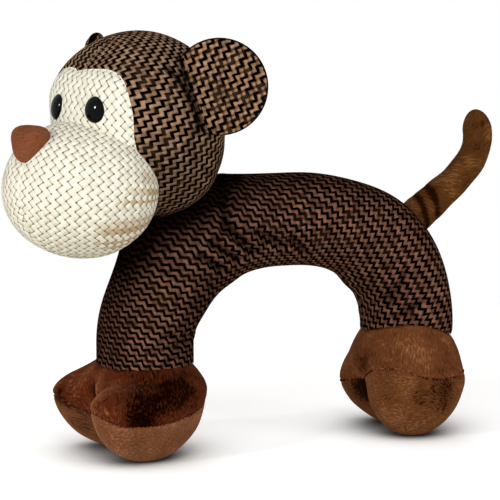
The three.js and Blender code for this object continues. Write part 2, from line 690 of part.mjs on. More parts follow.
for (const [name, side] of [['ear_left', 1], ['ear_right', -1]]) {
  const { front, back, wadding } = earPieces(side);
  head.add(piece(`${name}_front`, front, brownWeave));
  head.add(piece(`${name}_back`, back, brownWeave));
  head.add(piece(`${name}_wadding`, wadding, fibre));
}
head.applyMatrix4(headMatrix);
toy.add(head);

// The origin is under the middle of the toy's box
const box = new THREE.Box3().setFromObject(toy, true);
toy.position.set(-(box.min.x + box.max.x) / 2, -(box.min.y + box.max.y) / 2, 0);
toy.updateMatrixWorld(true);

// The lines that the moving pieces turn on, and the foot of the squeaker's bulb, in the finished frame
const pivot = (point, axis) => ({ point: point.clone().add(toy.position), axis });
const earPivot = (side) => {
  const { root, up } = earFrame(side);
  return pivot(root.applyMatrix4(headMatrix), up.transformDirection(headMatrix));
};
const bulbFoot = at(MUZZLE.front, 0, -MUZZLE.down - BULB.halfHeight).applyMatrix4(headMatrix);
toy.userData.pivots = {
  headNod: pivot(neck, nodAxis),
  headTurn: pivot(neck, neckAxis),
  earLeft: earPivot(1),
  earRight: earPivot(-1),
  tailWag: pivot(tailRoot, tailWagAxis),
  squeeze: pivot(bulbFoot, new THREE.Vector3(0, 0, -1)),
};

export default toy;
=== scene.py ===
"""Looks of the plush monkey dog toy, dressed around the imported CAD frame.

Shapes are worked out in millimetres in the toy's own frame, with the arch centred on X = 0,
and go to Blender in metres in the row frame. The near side, which the camera sees, is -Y.
"""

import math
from types import SimpleNamespace as Sizes

import bmesh
import bpy
import numpy as np
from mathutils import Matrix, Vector


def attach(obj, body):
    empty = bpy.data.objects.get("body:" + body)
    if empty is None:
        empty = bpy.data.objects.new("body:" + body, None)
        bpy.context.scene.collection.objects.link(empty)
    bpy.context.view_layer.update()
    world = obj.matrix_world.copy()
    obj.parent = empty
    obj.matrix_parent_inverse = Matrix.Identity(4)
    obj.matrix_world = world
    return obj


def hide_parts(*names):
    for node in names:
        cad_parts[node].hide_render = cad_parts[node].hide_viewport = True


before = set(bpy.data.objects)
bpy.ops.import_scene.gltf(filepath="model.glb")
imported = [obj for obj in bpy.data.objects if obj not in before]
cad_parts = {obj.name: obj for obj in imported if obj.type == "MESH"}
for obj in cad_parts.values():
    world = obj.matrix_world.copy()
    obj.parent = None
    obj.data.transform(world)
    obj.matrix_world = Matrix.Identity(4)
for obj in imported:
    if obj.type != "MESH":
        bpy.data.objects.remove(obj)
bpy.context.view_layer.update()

# From the toy's own frame to the row frame
SHIFT = np.array([12.0325, -8.2959, 0.0])

UP = np.array([0.0, 0.0, 1.0])
WHITE = (1.0, 1.0, 1.0, 1.0)

# How often a ball's triangles are split for a large piece, a small one, an eye and a stitch
LARGE, SMALL, EYEBALL, STITCH = 7, 6, 5, 2

# Arched body
ARCH_RADIUS = 26.5
ARCH_HALF_SPAN = 83.0
ARCH_SPRING = 62.0
ARCH_RISE = 66.0
FRONT_SQUARENESS = 2.0
REAR_SQUARENESS = 2.4
SLEEVE_STAND = 0.2
HEM_SOFTNESS = 2.0

# Swells of the stuffed body, first of its shoulder and chest: middle along it, width and height
FRONT_SWELLS = ((147, 15, 5.5), (112, 15, 8.0))
RUMP_SWELLS = ((243, 22, 1.8),)
INNER_SWELLS = ((96, 20, 2.0), (252, 16, 2.2))

# Swells of the front leg's inner side and the haunch, and how far the rear leg's inner side is pressed in
FRONT_LEG_END = 150
FRONT_LEG_SWELL = 1.3
HAUNCH_SWELL = 2.0
REAR_LEG_PRESS = 0.9

# Folds of the sleeve: place along the body and degrees round it at each end, width and depth
FOLDS = (
    ((147, -14), (139, -66), 3.2, 1.5),
    ((139, -66), (144, -95), 3.0, 1.7),
    ((118, -82), (125, -112), 2.6, 1.9),
    ((126, -78), (138, -114), 2.8, 2.1),
    ((136, -72), (149, -114), 3.0, 1.9),
    ((154, -92), (171, -118), 2.8, 2.0),
    ((175, -108), (188, -130), 2.8, 1.8),
    ((60, -75), (66, -130), 2.2, 1.3),
    ((68, -90), (71, -140), 2.2, 1.1),
    ((262, -100), (276, -130), 3.0, 1.5),
    ((284, -96), (292, -128), 3.0, 1.2),
)
FOLD_DEPTH = 1.6
FOLD_LIP = 0.5
MM_A_DEGREE = 0.46

# Weave of the body: size of its blocks, lean of its columns at the front and what the rear adds to that, and
# a wave that crowds them on the back
BODY_BLOCK = (3.04, 3.1)
FRONT_LEAN = -0.38
REAR_LEAN = 0.85
CROWDING = Sizes(blocks=1.55, middle=15, length=26)

# Feet, as in the CAD: two eggs under each leg, deep below and flat above. Pairs are for the near egg and
# the far one, and drape is for the near toe, the near heel and the far egg. Lines are heights at degrees
# round the leg, less than 0 on the near side. Dents, and the marks of painted shade and painted highlight
# on the pile, are a place, a size and a depth, which is below zero for the highlights.
FRONT_HEM = 50.6
FRONT_FOOT = Sizes(
    leg=-ARCH_HALF_SPAN, hem=FRONT_HEM, shoulder=37.5, ankle=31.5, slim=2.0,
    length=75.0, width=44.0, depth=35.0, crown=(12.5, 15.0), spread=44.0, reach=6.5, taper=0.0,
    lift=(-4.0, -4.0), out=18.0, point=1.85, drape=(2.0, 11.0, 16.0), web=0.0, thread=0.65,
    hem_line=((-180, FRONT_HEM), (180, FRONT_HEM)),
    dents=(((-20, -31, 40), 9, 3.2),),
    smudges=dict(
        upper=(
            ((-20, -38, 28), 12, 0.8), ((4, -35, 36), 17, 0.36), ((-4, -28, 46), 15, 0.25),
            ((-40, 25, 33), 4, 0.5), ((-37, -25, 29), 13, -0.55),
        ),
        sole=(((-38, -22, 18), 14, -0.2), ((-8, -40, 8), 14, -0.05)),
    ),
)
REAR_FOOT = Sizes(
    leg=ARCH_HALF_SPAN, hem=60.0, shoulder=46.0, ankle=31.0, slim=3.0,
    length=58.0, width=52.0, depth=33.5, crown=(18.0, 18.0), spread=40.0, reach=2.0, taper=-0.06,
    lift=(10.0, -11.0), out=0.0, point=1.5, drape=(16.0, 18.0, 20.0), web=22.0, thread=1.3,
    hem_line=(
        (-180, 55.5), (-135, 57.2), (-115, 60.9), (-90, 64.3), (-65, 65.7),
        (-40, 63.8), (0, 59.8), (60, 59.8), (180, 55.5),
    ),
    seam_line=(
        (-180, 35), (-140, 36.5), (-106, 35.3), (-91, 35.3), (-78, 36.9), (-61, 41.8), (-37, 40.6),
        (-23, 36.3), (-5, 32.7), (39, 26.2), (60, 26.5), (90, 29), (180, 35),
    ),
    dents=(((-33, -6, 41), 8, 1.2), ((3, -44, 29), 9, 1.2), ((-14, -43, 22), 6, 0.8)),
    smudges=dict(
        upper=(((-33, -6, 41), 8, 0.5), ((-20, -18, 48), 9, -0.2)),
        sole=(
            ((-26, 4, 20), 10, 0.9), ((3, -44, 29), 10, 0.55), ((-13, -42, 24), 5, 0.15),
            ((-20, -28, 14), 9, -0.2),
        ),
    ),
)
SOLE_FLAT = 1.0
SOLE_REST = 0.35
SOLE_SOFTNESS = 3.0
NAP_ROUND = 34

# Seam of the front foot: its level, and where it starts to climb at the heel and the toe, and how fast
FRONT_SEAM = 23.0
HEEL_CLIMB = (-12, 0.0044)
TOE_CLIMB = (-25, 0.024)

# Head, where the eyes' sides are for the right one and the left one
HEAD_CENTRE = np.array([-84.57, 0.0, 184.99])
HEAD_TURN = math.radians(16.0)
SKULL = np.array([49.0, 49.0, 52.0])
FOREHEAD_SWELL = 0.1
MUZZLE_CENTRE = np.array([42.0, 0.0, -33.5])
MUZZLE = np.array([41.0, 46.0, 38.0])
FACE = Sizes(side=35.7, top=32.3, notch=1.8, middle=-6.5, lobe=12.5, jaw=36.0, bottom=-16.0)
EYE = Sizes(side=(13.8, 18.4), up=11.1, wide=6.5, high=7.4, dome=4.0, sunk=0.6, skirt=-0.35)
NOSE = Sizes(angle=41.5, lift=1.03, side=-1.6, deep=9.8, wide=9.1, high=10.4, taper=0.42)
EAR = Sizes(radius=26.5, thick=6.6, root=0.62, offset=14.045, up=18.5, back=1.7, sweep=49.0, tilt=17.5)
EAR_ROOT_HALF = 21
SEAM_WIDTH = 1.1
SEAM_DEPTH = 1.0

# Swells of the head: the way they point as front, side and up, how near to it they start, and height
NAPE_SWELLS = (((-0.56, 0.47, -0.68), 0.78, 2.6), ((-0.72, 0.63, -0.29), 0.88, -1.4))
CHEEK_SWELL = ((-0.3, 0.88, 0.36), 0.8, 1.1)

# Middle of the tan rows on each cheek
TAN_WAY = (-0.38, 0.8, -0.47)

# Weaves of the head: right and up to the next block, both ways along the cloth
FACE_WEAVE = ((2.21, 2.46), (-2.61, 2.89))
CROWN_WEAVE = ((4.09, 0.68), (-0.84, 2.69))
MUZZLE_WEAVE = ((2.93, 2.44), (-2.43, 3.27))
EAR_WEAVE = ((3.35, 0.1), (-0.3, 3.3))

# Tail, with its half heights and half widths at some places along it and at its tip
TAIL_SEAT = math.radians(144.0)
TAIL_SUNK = 6
TAIL_ASIDE = 2.2
TAIL_RISE = 44
TAIL_TIP = np.array([128.6, 0.0, 187.0])
TAIL_BEND = np.array([13.0, 0.0, -32.0])
TAIL_ROUND = 12.0
TAIL_AT = (0, 12, 40)
TAIL_HIGH = (11.0, 10.5, 9.3, 8.7)
TAIL_WIDE = (9.0, 8.6, 7.8, 7.4)

# Creases round the tail, pressed in and darkened with painted shade: place along it, width and strength
TAIL_RINGS = ((12, 2.2, 1.0), (21, 2.4, 0.8))


# Small sums

def smoothstep(value, low, high):
    t = np.clip((value - low) / (high - low), 0, 1)
    return t * t * (3 - 2 * t)


def ridge(value, middle, width):
    """A smooth ridge that is 1 at its middle."""
    return np.exp(-(((value - middle) / width) ** 2))


def ridges(value, places):
    """Sum of ridges, each a middle, a width and a height."""
    return sum(height * ridge(value, middle, width) for middle, width, height in places)


def soft_min(a, b, k):
    h = np.clip(0.5 + 0.5 * (b - a) / k, 0, 1)
    return b * (1 - h) + a * h - k * h * (1 - h)


def unit(vectors):
    """The same ways, each 1 long."""
    return vectors / np.linalg.norm(vectors, axis=-1, keepdims=True)


def turned(a, b, angle):
    """Two coordinates turned by an angle."""
    c, s = math.cos(angle), math.sin(angle)
    return a * c - b * s, a * s + b * c


def lumps(points, size, seed):
    """Smooth seeded unevenness of about that size, from -1 to 1."""
    rng = np.random.default_rng(seed)
    total = np.zeros(len(points))
    for _ in range(7):
        way = rng.normal(size=3)
        way /= np.linalg.norm(way) * size * rng.uniform(0.7, 1.5)
        total += np.sin(2 * np.pi * (points @ way + rng.random()))
    return total / 4


def marks(points, places):
    """Sum of round marks, each a place, a size and a depth."""
    total = np.zeros(len(points))
    for place, size, depth in places:
        total += depth * np.exp(-np.sum((points - place) ** 2, axis=1) / size**2)
    return total


def bezier(*points, count=24):
    """A curve of three or four points, as a row of places on it."""
    p = [np.array(q, float) for q in points]
    t = np.linspace(0, 1, count)[:, None]
    while len(p) > 1:
        p = [a + t * (b - a) for a, b in zip(p, p[1:])]
    return p[0]


def off_segment(points, p, q):
    """How far points are from the straight line between two others."""
    way = q - p
    t = np.clip(((points - p) @ way) / max(way @ way, 1e-12), 0, 1)
    return np.linalg.norm(points - p - t[..., None] * way, axis=-1)


def run_of(line):
    """How far along a line of points each of them is."""
    return np.concatenate([[0], np.cumsum(np.linalg.norm(np.diff(line, axis=0), axis=1))])


def on_line(at, run, line):
    """Places that far along a line of points."""
    return np.stack([np.interp(at, run, column) for column in line.T], -1)


def spaced(line, gap, step=0.4):
    """Places an even gap apart on a line of points, and the way along it there."""
    run = run_of(line)
    at = np.arange(gap / 2, run[-1], gap)
    return on_line(at, run, line), on_line(at + step, run, line) - on_line(at - step, run, line)


# Meshes

def ball(level):
    """Even directions on a unit ball, and the triangles between them."""
    bm = bmesh.new()
    bmesh.ops.create_icosphere(bm, subdivisions=level, radius=1.0)
    points = np.array([v.co for v in bm.verts])
    faces = np.array([[v.index for v in f.verts] for f in bm.faces])
    bm.free()
    return unit(points), faces


def tube(rows, columns):
    """Quads between rows of points, each row joined end to start."""
    r, c = np.meshgrid(np.arange(rows - 1), np.arange(columns), indexing="ij")
    a = r * columns + c
    b = r * columns + (c + 1) % columns
    return np.stack([a, b, b + columns, a + columns], -1).reshape(-1, 4)


def split(points, faces, value):
    """Cuts triangles where value is 0. Returns the points, the faces above it and the faces below."""
    above = value[faces] > 0
    count = above.sum(1)
    high, low = list(faces[count == 3]), list(faces[count == 0])
    cut = (count == 1) | (count == 2)
    extra, made = [], {}

    def crossing(i, j):
        key = (min(i, j), max(i, j))
        if key not in made:
            share = value[i] / (value[i] - value[j])
            made[key] = len(points) + len(extra)
            extra.append(points[i] + share * (points[j] - points[i]))
        return made[key]

    for face, sides in zip(faces[cut], above[cut]):
        lone = int(np.argmax(sides)) if sides.sum() == 1 else int(np.argmin(sides))
        a, b, c = np.roll(face, -lone)
        ab, ca = crossing(a, b), crossing(c, a)
        tip, rest = (high, low) if sides.sum() == 1 else (low, high)
        tip.append(np.array([a, ab, ca]))
        rest.append(np.array([ab, b, c]))
        rest.append(np.array([ab, c, ca]))
    if extra:
        points = np.vstack([points, extra])
    return points, np.array(high), np.array(low)


def used(points, faces):
    """Only the points that the faces use, and the faces renumbered."""
    keep, index = np.unique(faces, return_inverse=True)
    return points[keep], index.reshape(faces.shape)


# Pieces in Blender

def piece(nodes, points, faces, look, body, slot, fill=None, name=None, **values):
    """A smooth mesh of points in the toy's own frame, riding on a body in place of CAD nodes."""
    name = name or nodes[0] + "_dressed"
    mesh = bpy.data.meshes.new(name)
    mesh.from_pydata(((points + SHIFT) / 1000).tolist(), [], faces.tolist())
    for key, value in values.items():
        attribute = mesh.attributes.new(key, "FLOAT_VECTOR", "POINT")
        attribute.data.foreach_set("vector", value.astype(np.float32).ravel())
    mesh.validate()
    mesh.shade_smooth()
    mesh.materials.append(look)
    obj = bpy.data.objects.new(name, mesh)
    bpy.context.scene.collection.objects.link(obj)
    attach(obj, body)
    if nodes:
        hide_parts(*nodes)


def stitches(name, line, gap, length, thick, look, body, lift=None):
    """Short stitches of thread along a line, lifted away from a centre if there is one."""
    places, ways = spaced(line, gap)
    if lift is not None:
        centre, far = lift
        places = places + far * unit(places - centre)
    d, faces = ball(STITCH)
    slant = [0.3, 0.5, 0.8]
    points, all_faces = [], []
    for place, way in zip(places, unit(ways)):
        side = unit(np.cross(way, slant))
        axes = np.array([way * length, side * thick, np.cross(way, side) * thick]) / 2
        all_faces.append(faces + len(d) * len(points))
        points.append(place + d @ axes)
    piece([], np.vstack(points), np.vstack(all_faces), look, body, "thread", name=name)


# Materials

def srgb(*levels):
    """A colour written as the 0 to 255 levels of a picture."""
    c = np.array(levels) / 255
    return tuple(np.where(c <= 0.04045, c / 12.92, ((c + 0.055) / 1.055) ** 2.4)) + (1.0,)


class Net:
    """The nodes of a material or the world, with short calls for the ones used here."""

    def __init__(self, owner, shader, out):
        owner.use_nodes = True
        self.owner = owner
        self.tree = owner.node_tree
        self.tree.nodes.clear()
        self.shader = self.node(shader)
        self.surface = self.node(out).inputs["Surface"]
        self.put(self.shader.outputs[0], self.surface)

    def put(self, value, socket):
        if isinstance(value, bpy.types.NodeSocket):
            self.tree.links.new(value, socket)
        else:
            socket.default_value = value

    def node(self, kind, *values, **settings):
        made = self.tree.nodes.new("ShaderNode" + kind)
        for key, value in settings.items():
            setattr(made, key, value)
        for value, socket in zip(values, made.inputs):
            self.put(value, socket)
        return made

    def named(self, kind, **values):
        """A node whose inputs are given by name."""
        made = self.node(kind)
        for key, value in values.items():
            self.put(value, made.inputs[key])
        return made

    def math(self, operation, *values):
        return self.node("Math", *values, operation=operation).outputs[0]

    def length(self, x, y):
        return self.math("SQRT", self.math("ADD", self.math("POWER", x, 2.0), self.math("POWER", y, 2.0)))

    def most(self, first, *others):
        """The greatest of some values."""
        for other in others:
            first = self.math("MAXIMUM", first, other)
        return first

    def add(self, value, other, amount):
        """A value with some of another one added."""
        return self.math("MULTIPLY_ADD", other, amount, value)

    def sway(self, value, noise, amount):
        """A value that noise moves up and down."""
        return self.add(value, self.math("SUBTRACT", noise, 0.5), amount)

    def step(self, value, low, high, first=0.0, last=1.0):
        made = self.node("MapRange", value, low, high, first, last, interpolation_type="SMOOTHSTEP")
        return made.outputs[0]

    def blend(self, share, first, second):
        made = self.node("Mix", data_type="RGBA")
        self.put(share, made.inputs[0])
        self.put(first, made.inputs[6])
        self.put(second, made.inputs[7])
        return made.outputs[2]

    def place(self):
        return self.node("TexCoord").outputs["Object"]

    def values(self, name):
        """The three values of a mesh attribute."""
        return self.parts(self.node("Attribute", attribute_name=name).outputs["Vector"])

    def parts(self, vector):
        return self.node("SeparateXYZ", vector).outputs[:3]

    def vector(self, *values):
        return self.node("CombineXYZ", *values).outputs[0]

    def noise(self, vector, scale, detail=2.0, roughness=0.5):
        made = self.named("TexNoise", Vector=vector, Scale=scale, Detail=detail, Roughness=roughness)
        return made.outputs["Fac"]

    def bump(self, height, strength, distance):
        return self.named("Bump", Strength=strength, Distance=distance, Height=height).outputs["Normal"]

    def finish(self, **values):
        for key, value in values.items():
            self.put(value, self.shader.inputs[key.replace("_", " ")])
        return self.owner

    def seen(self):
        """1 for what the camera sees straight or as an image, and 0 for what only gives light."""
        path = self.node("LightPath").outputs
        return self.most(path["Is Camera Ray"], path["Is Glossy Ray"], path["Is Transmission Ray"])


def material(name):
    return Net(bpy.data.materials.new(name), "BsdfPrincipled", "OutputMaterial")


def stair_blocks(net, p, q):
    """Blocks of two kinds that take turns, each with a stair line on two sides, so that the lines climb.

    Returns a block's row and column, and how far its stair line, its other two sides and its nearest
    corner are away, in blocks.
    """
    do = net.math
    row, column = do("FLOOR", p), do("FLOOR", q)
    odd = do("FLOORED_MODULO", do("ADD", row, column), 2.0)
    x, y = (do("ABSOLUTE", do("SUBTRACT", odd, do("FRACT", place))) for place in (p, q))
    far_x, far_y = do("SUBTRACT", 1.0, x), do("SUBTRACT", 1.0, y)
    stair = do("MINIMUM", do("MINIMUM", y, far_x), do("MAXIMUM", x, far_y))
    other = do("MINIMUM", x, far_y)
    corner = net.length(do("MINIMUM", x, far_x), do("MINIMUM", y, far_y))
    return row, column, stair, other, corner


def weave(name, light, shade, gap, shade_and_tan, line, cut, relief, wander, dots=0.0, fade=0.1, banded=False):
    """Stair woven cloth. The attribute weave holds the place in blocks both ways of the cloth, and an amount
    of painted shade.

    The painted shade, and on the muzzle its tan rows too, darkens the cloth towards the fourth colour, in
    some rows only if banded. line is half the width of the stair lines, cut how far a block's other sides are
    dark as well, dots the size of dark corners, fade how far lines go pale in places, and wander how far they
    stray.
    """
    net = material(name)
    place = net.place()
    p, q, shading = net.values("weave")
    p = net.sway(p, net.noise(place, 75.0, 4.0, 0.65), wander)
    q = net.sway(q, net.noise(place, 88.0, 4.0, 0.65), wander)
    row, column, stair, other, corner = stair_blocks(net, p, q)

    # Dark lines, broken where the cloth is worn
    worn = net.noise(place, 130.0)
    stair = net.sway(stair, worn, 0.22)
    pale = net.step(worn, 0.3, 0.5, 1.0 - fade, 1.0)
    lines = net.math("MULTIPLY", net.step(stair, line * 1.2, line * 0.8), pale)
    some = net.step(worn, 0.58, 0.42, 0.25 * cut, cut)
    gaps = net.math("MULTIPLY", net.step(other, line * 0.9, line * 0.3), some)
    depth = net.most(lines, gaps)
    if dots:
        depth = net.most(depth, net.step(corner, dots, dots * 0.45))
        depth = net.math("MULTIPLY", depth, net.step(corner, dots * 1.4, dots * 0.5, 0.55, 1.0))

    # Colour of the yarn, by its fibres, its patches and its blocks
    block = net.node("TexWhiteNoise", net.vector(row, column, 0.0), noise_dimensions="3D").outputs["Value"]
    # Where banded, the painted shade and the muzzle's tan rows fall on whole rows of blocks
    if banded:
        band = net.node("TexWhiteNoise", noise_dimensions="1D")
        net.put(net.math("ADD", row, column), band.inputs["W"])
        shading = net.math("MULTIPLY", shading, net.step(band.outputs["Value"], 0.45, 0.6))
    fibres = net.noise(place, 1300.0, 3.0, 0.7)
    tone = net.add(net.math("MULTIPLY", fibres, 0.55), net.noise(place, 260.0), 0.4)
    tone = net.add(tone, block, 0.22)
    cloth = net.blend(net.step(tone, 0.4, 0.78), shade, light)
    # Painted shade, and on the muzzle its tan rows, darken the cloth towards the fourth colour
    colour = net.blend(depth, net.blend(shading, cloth, shade_and_tan), gap)

    height = net.add(net.math("MULTIPLY", fibres, 0.25), net.step(stair, 0.0, 0.5), 0.9)
    height = net.add(height, net.step(other, 0.0, 0.3), 0.2 + 0.3 * cut)
    height = net.add(height, depth, -0.4)
    return net.finish(
        Base_Color=colour, Roughness=0.9, Specular_IOR_Level=0.0, Normal=net.bump(height, 0.9, relief),
    )


def plush(name, deep, middle, light, streak, sheen=0.1, fleck=1.35, swirl=11.0, patches=1.5):
    """Short pile. The attribute nap holds the place across and along it in millimetres, and an amount of
    painted light: painted shade above zero and painted highlight below it.

    streak is the length of its strokes, swirl how far they wind, and fleck and patches how much its small
    and its large marks stand out.
    """
    net = material(name)
    place = net.place()
    across, along, painted_light = net.values("nap")
    across = net.sway(across, net.noise(place, 60.0, 1.0), swirl)
    along = net.sway(along, net.noise(place, 52.0, 1.0), swirl)
    strokes = net.vector(net.math("MULTIPLY", across, 1.25), net.math("DIVIDE", along, streak), 0.0)
    fine = net.noise(strokes, 1.0, 3.0, 0.6)
    patch = net.noise(place, 62.0, 3.0)
    tone = net.sway(net.sway(0.5, fine, fleck), patch, patches)
    # Painted shade and painted highlights darken and lighten the pile
    tone = net.add(tone, painted_light, -0.85)
    low = net.blend(net.step(tone, 0.0, 0.5), deep, middle)
    colour = net.blend(net.step(tone, 0.5, 0.95), low, light)
    height = net.add(net.math("MULTIPLY", patch, 1.2), fine, 0.7)
    height = net.add(height, net.noise(place, 2600.0, 2.0, 0.6), 0.35)
    return net.finish(
        Base_Color=colour, Roughness=0.95, Sheen_Weight=sheen, Sheen_Roughness=0.35,
        Sheen_Tint=srgb(205, 150, 110), Specular_IOR_Level=0.0, Normal=net.bump(height, 0.8, 0.0009),
    )


def gloss(name, colour, other):
    net = material(name)
    speck = net.noise(net.place(), 400.0)
    return net.finish(
        Base_Color=net.blend(speck, colour, other), Roughness=net.step(speck, 0.2, 0.9, 0.02, 0.05),
        Specular_IOR_Level=0.1,
    )


def plastic(name, colour, other):
    net = material(name)
    grain = net.noise(net.place(), 700.0, 3.0)
    return net.finish(
        Base_Color=net.blend(grain, colour, other), Roughness=net.step(grain, 0.2, 0.9, 0.4, 0.6),
        Normal=net.bump(grain, 0.2, 0.0002),
    )


def stuffing(name, colour, other):
    net = material(name)
    hair = net.noise(net.place(), 1500.0, 5.0, 0.7)
    return net.finish(
        Base_Color=net.blend(hair, colour, other), Roughness=1.0, Normal=net.bump(hair, 0.8, 0.001),
    )


def twine(name, colour, other):
    net = material(name)
    hair = net.noise(net.place(), 2200.0, 3.0, 0.7)
    worn = net.step(net.noise(net.place(), 420.0, 1.0), 0.42, 0.68)
    return net.finish(
        Base_Color=net.blend(worn, colour, other), Roughness=0.85, Specular_IOR_Level=0.0,
        Normal=net.bump(hair, 0.5, 0.0003),
    )


# The fourth colour of each weave is what its painted shade darkens towards; on the cream cloth it also
# colours the muzzle's tan rows
crown_cloth = weave(
    "crown_cloth",
    light=srgb(176, 143, 115), shade=srgb(122, 93, 71), gap=srgb(7, 2, 1), shade_and_tan=srgb(7, 2, 1),
    line=0.25, cut=0.3, relief=0.0012, wander=0.55,
)
ear_cloth = weave(
    "ear_cloth",
    light=srgb(182, 144, 111), shade=srgb(130, 98, 72), gap=srgb(6, 2, 1), shade_and_tan=srgb(6, 2, 1),
    line=0.26, cut=0.7, relief=0.0013, wander=0.8,
)
body_cloth = weave(
    "body_cloth",
    light=srgb(141, 100, 79), shade=srgb(86, 57, 44), gap=srgb(6, 2, 1), shade_and_tan=srgb(5, 2, 1),
    line=0.25, cut=0.3, relief=0.0011, wander=0.75,
)
cream_cloth = weave(
    "cream_cloth",
    light=srgb(244, 241, 226), shade=srgb(230, 225, 206), gap=srgb(98, 77, 34), shade_and_tan=srgb(172, 132, 66),
    line=0.09, cut=0.45, dots=0.17, fade=0.45, relief=0.0006, wander=0.5, banded=True,
)
front_pile = plush(
    "front_pile", deep=srgb(16, 2, 1), middle=srgb(84, 38, 20), light=srgb(140, 88, 56),
    streak=2.2, sheen=0.15, patches=1.1,
)
front_sole_pile = plush(
    "front_sole_pile", deep=srgb(54, 26, 13), middle=srgb(116, 72, 46), light=srgb(172, 122, 92),
    streak=1.3, sheen=0.45, fleck=1.3, patches=0.8,
)
rear_pile = plush(
    "rear_pile", deep=srgb(40, 16, 5), middle=srgb(105, 61, 34), light=srgb(150, 102, 66),
    streak=2.6, fleck=1.4, patches=1.0,
)
rear_sole_pile = plush(
    "rear_sole_pile", deep=srgb(26, 9, 3), middle=srgb(104, 62, 34), light=srgb(152, 106, 70),
    streak=2.0, sheen=0.25, fleck=1.4, patches=0.9,
)
tail_pile = plush(
    "tail_pile", deep=srgb(34, 13, 3), middle=srgb(86, 52, 24), light=srgb(130, 86, 48), streak=5.0,
)
nose_pile = plush(
    "nose_pile", deep=srgb(78, 40, 25), middle=srgb(124, 74, 50), light=srgb(152, 100, 73),
    streak=0.8, fleck=1.4, swirl=1.0, patches=0.6,
)
eye_gloss = gloss("eye_gloss", srgb(5, 4, 5), srgb(2, 2, 3))
fibre = stuffing("fibre", srgb(205, 202, 194), srgb(246, 244, 238))
thread = twine("thread", srgb(40, 20, 13), srgb(66, 38, 26))
red_thread = twine("red_thread", srgb(62, 18, 11), srgb(150, 84, 62))
pale_thread = twine("pale_thread", srgb(84, 68, 55), srgb(142, 122, 101))
white_plastic = plastic("white_plastic", srgb(224, 224, 220), srgb(238, 238, 234))


# Head: front, left and up of the head as columns

def from_head(p):
    """Points given as front, left and up of the head, in the toy's frame."""
    x, y = turned(-p[:, 0], -p[:, 1], HEAD_TURN)
    return np.stack([x, y, p[:, 2]], 1) + HEAD_CENTRE


def to_head(p):
    q = p - HEAD_CENTRE
    x, y = turned(q[:, 0], q[:, 1], -HEAD_TURN)
    return np.stack([-x, -y, q[:, 2]], 1)


def size_in(p, centre, half):
    """How far out points are from an ellipsoid's centre, 1 on its surface."""
    return np.linalg.norm((p - centre) / half, axis=1)


def ways_in(p, centre, half, side=1):
    """The ways of points from an ellipsoid's centre on a unit ball, with the right side as the left."""
    return unit((p - centre) / half) * [1, side, 1]


def swell_to(d, way, start, height):
    """Height of a swell in some directions, the same on both sides of the head."""
    return height * smoothstep(np.stack([d[:, 0], np.abs(d[:, 1]), d[:, 2]], 1) @ way, start, 1.0)


def nape_swell(d):
    """How far the back of the head hangs out over the neck."""
    return sum(swell_to(d, *swell) for swell in NAPE_SWELLS)


def skull_point(d):
    """The skull's surface in a direction of a unit ball, with the corners of the forehead swelled."""
    front, left, up = d.T
    flat = np.maximum(front**2 + left**2, 1e-9)
    corner = np.where(front > 0, 4 * front**2 * left**2 / flat**2, 0)
    swell = 1 + FOREHEAD_SWELL * corner * smoothstep(up, 0, 0.5)
    return np.stack([front * swell, left * swell, up], 1) * SKULL


def face_outline():
    """Outline of the face patch seen from the front, as left and up."""
    side, top, lobe = FACE.side, FACE.top, FACE.lobe
    notch = (FACE.middle, top - FACE.notch)
    widest = 3
    halves = []
    for sign in (1, -1):
        cheek, brow = (sign * side, widest), (sign * lobe, top)
        halves.append(np.vstack([
            bezier((sign * FACE.jaw, FACE.bottom), (sign * side, -6), cheek),
            bezier(cheek, (sign * 1.04 * side, 0.67 * top), (sign * 0.83 * side, 1.03 * top), brow),
            bezier(brow, (sign * lobe / 3 + 0.6 * notch[0], top), notch),
        ]))
    return np.vstack([halves[0], halves[1][-2::-1]])


def inside_outline(points, outline):
    """Distance to a closed outline, positive inside it."""
    best = np.full(len(points), np.inf)
    inside = np.zeros(len(points), bool)
    for p, q in zip(outline, np.roll(outline, -1, axis=0)):
        way = q - p
        best = np.minimum(best, off_segment(points, p, q))
        crosses = (p[1] > points[:, 1]) != (q[1] > points[:, 1])
        with np.errstate(divide="ignore", invalid="ignore"):
            at = p[0] + (points[:, 1] - p[1]) * way[0] / way[1]
        inside ^= crosses & (points[:, 0] < at)
    return np.where(inside, best, -best)


def inside_face(p, outline):
    """Distance inside the face patch. The back of the head is far outside it."""
    far_outside = -30.0
    return np.where(p[:, 0] > 0, inside_outline(p[:, 1:], outline), far_outside)


def wrap_map(d, axis, radius):
    """Flat place of directions on a cloth wrapped on a ball from one point: right and up in millimetres."""
    axis = unit(np.array(axis, float))
    up = unit(UP - (UP @ axis) * axis)
    right = np.cross(up, axis)
    away = np.arccos(np.clip(d @ axis, -1, 1))
    flat = np.stack([d @ right, d @ up], 1)
    flat /= np.maximum(np.linalg.norm(flat, axis=1), 1e-9)[:, None]
    return flat * (away * radius)[:, None]


def weave_at(flat, steps, shade=0.0):
    """Places in the weave of a flat cloth with such steps between its blocks, and its shading."""
    p, q = np.linalg.solve(np.array(steps).T, flat.T)
    return np.stack([p, q, np.zeros(len(flat)) + shade], 1)


def ear_frame(side):
    """Root of an ear on the skull, and the ways its face, its outer edge and its top point."""
    root_side = SKULL[1] * math.sqrt(1 - (EAR.back / SKULL[0]) ** 2 - (EAR.up / SKULL[2]) ** 2)
    root = np.array([-EAR.back, side * root_side, EAR.up])
    sweep, tilt = math.radians(EAR.sweep), math.radians(EAR.tilt)
    face = np.array([math.cos(sweep), side * math.sin(sweep), 0])
    back = np.array([-math.sin(sweep), side * math.cos(sweep), 0])
    out = back * math.cos(tilt) + UP * math.sin(tilt)
    return root, face, out, np.cross(face, out) * side


def ear_root_shade(p, side):
    """Painted shade in the crease on the skull in front of an ear's root."""
    root, face, out, up = ear_frame(side)
    q = p - root
    beside = smoothstep(24 - np.abs(q @ up), 0, 5) * (q @ out > -12)
    return 0.95 * ridge(q @ face, 2.6, 2.0) * beside


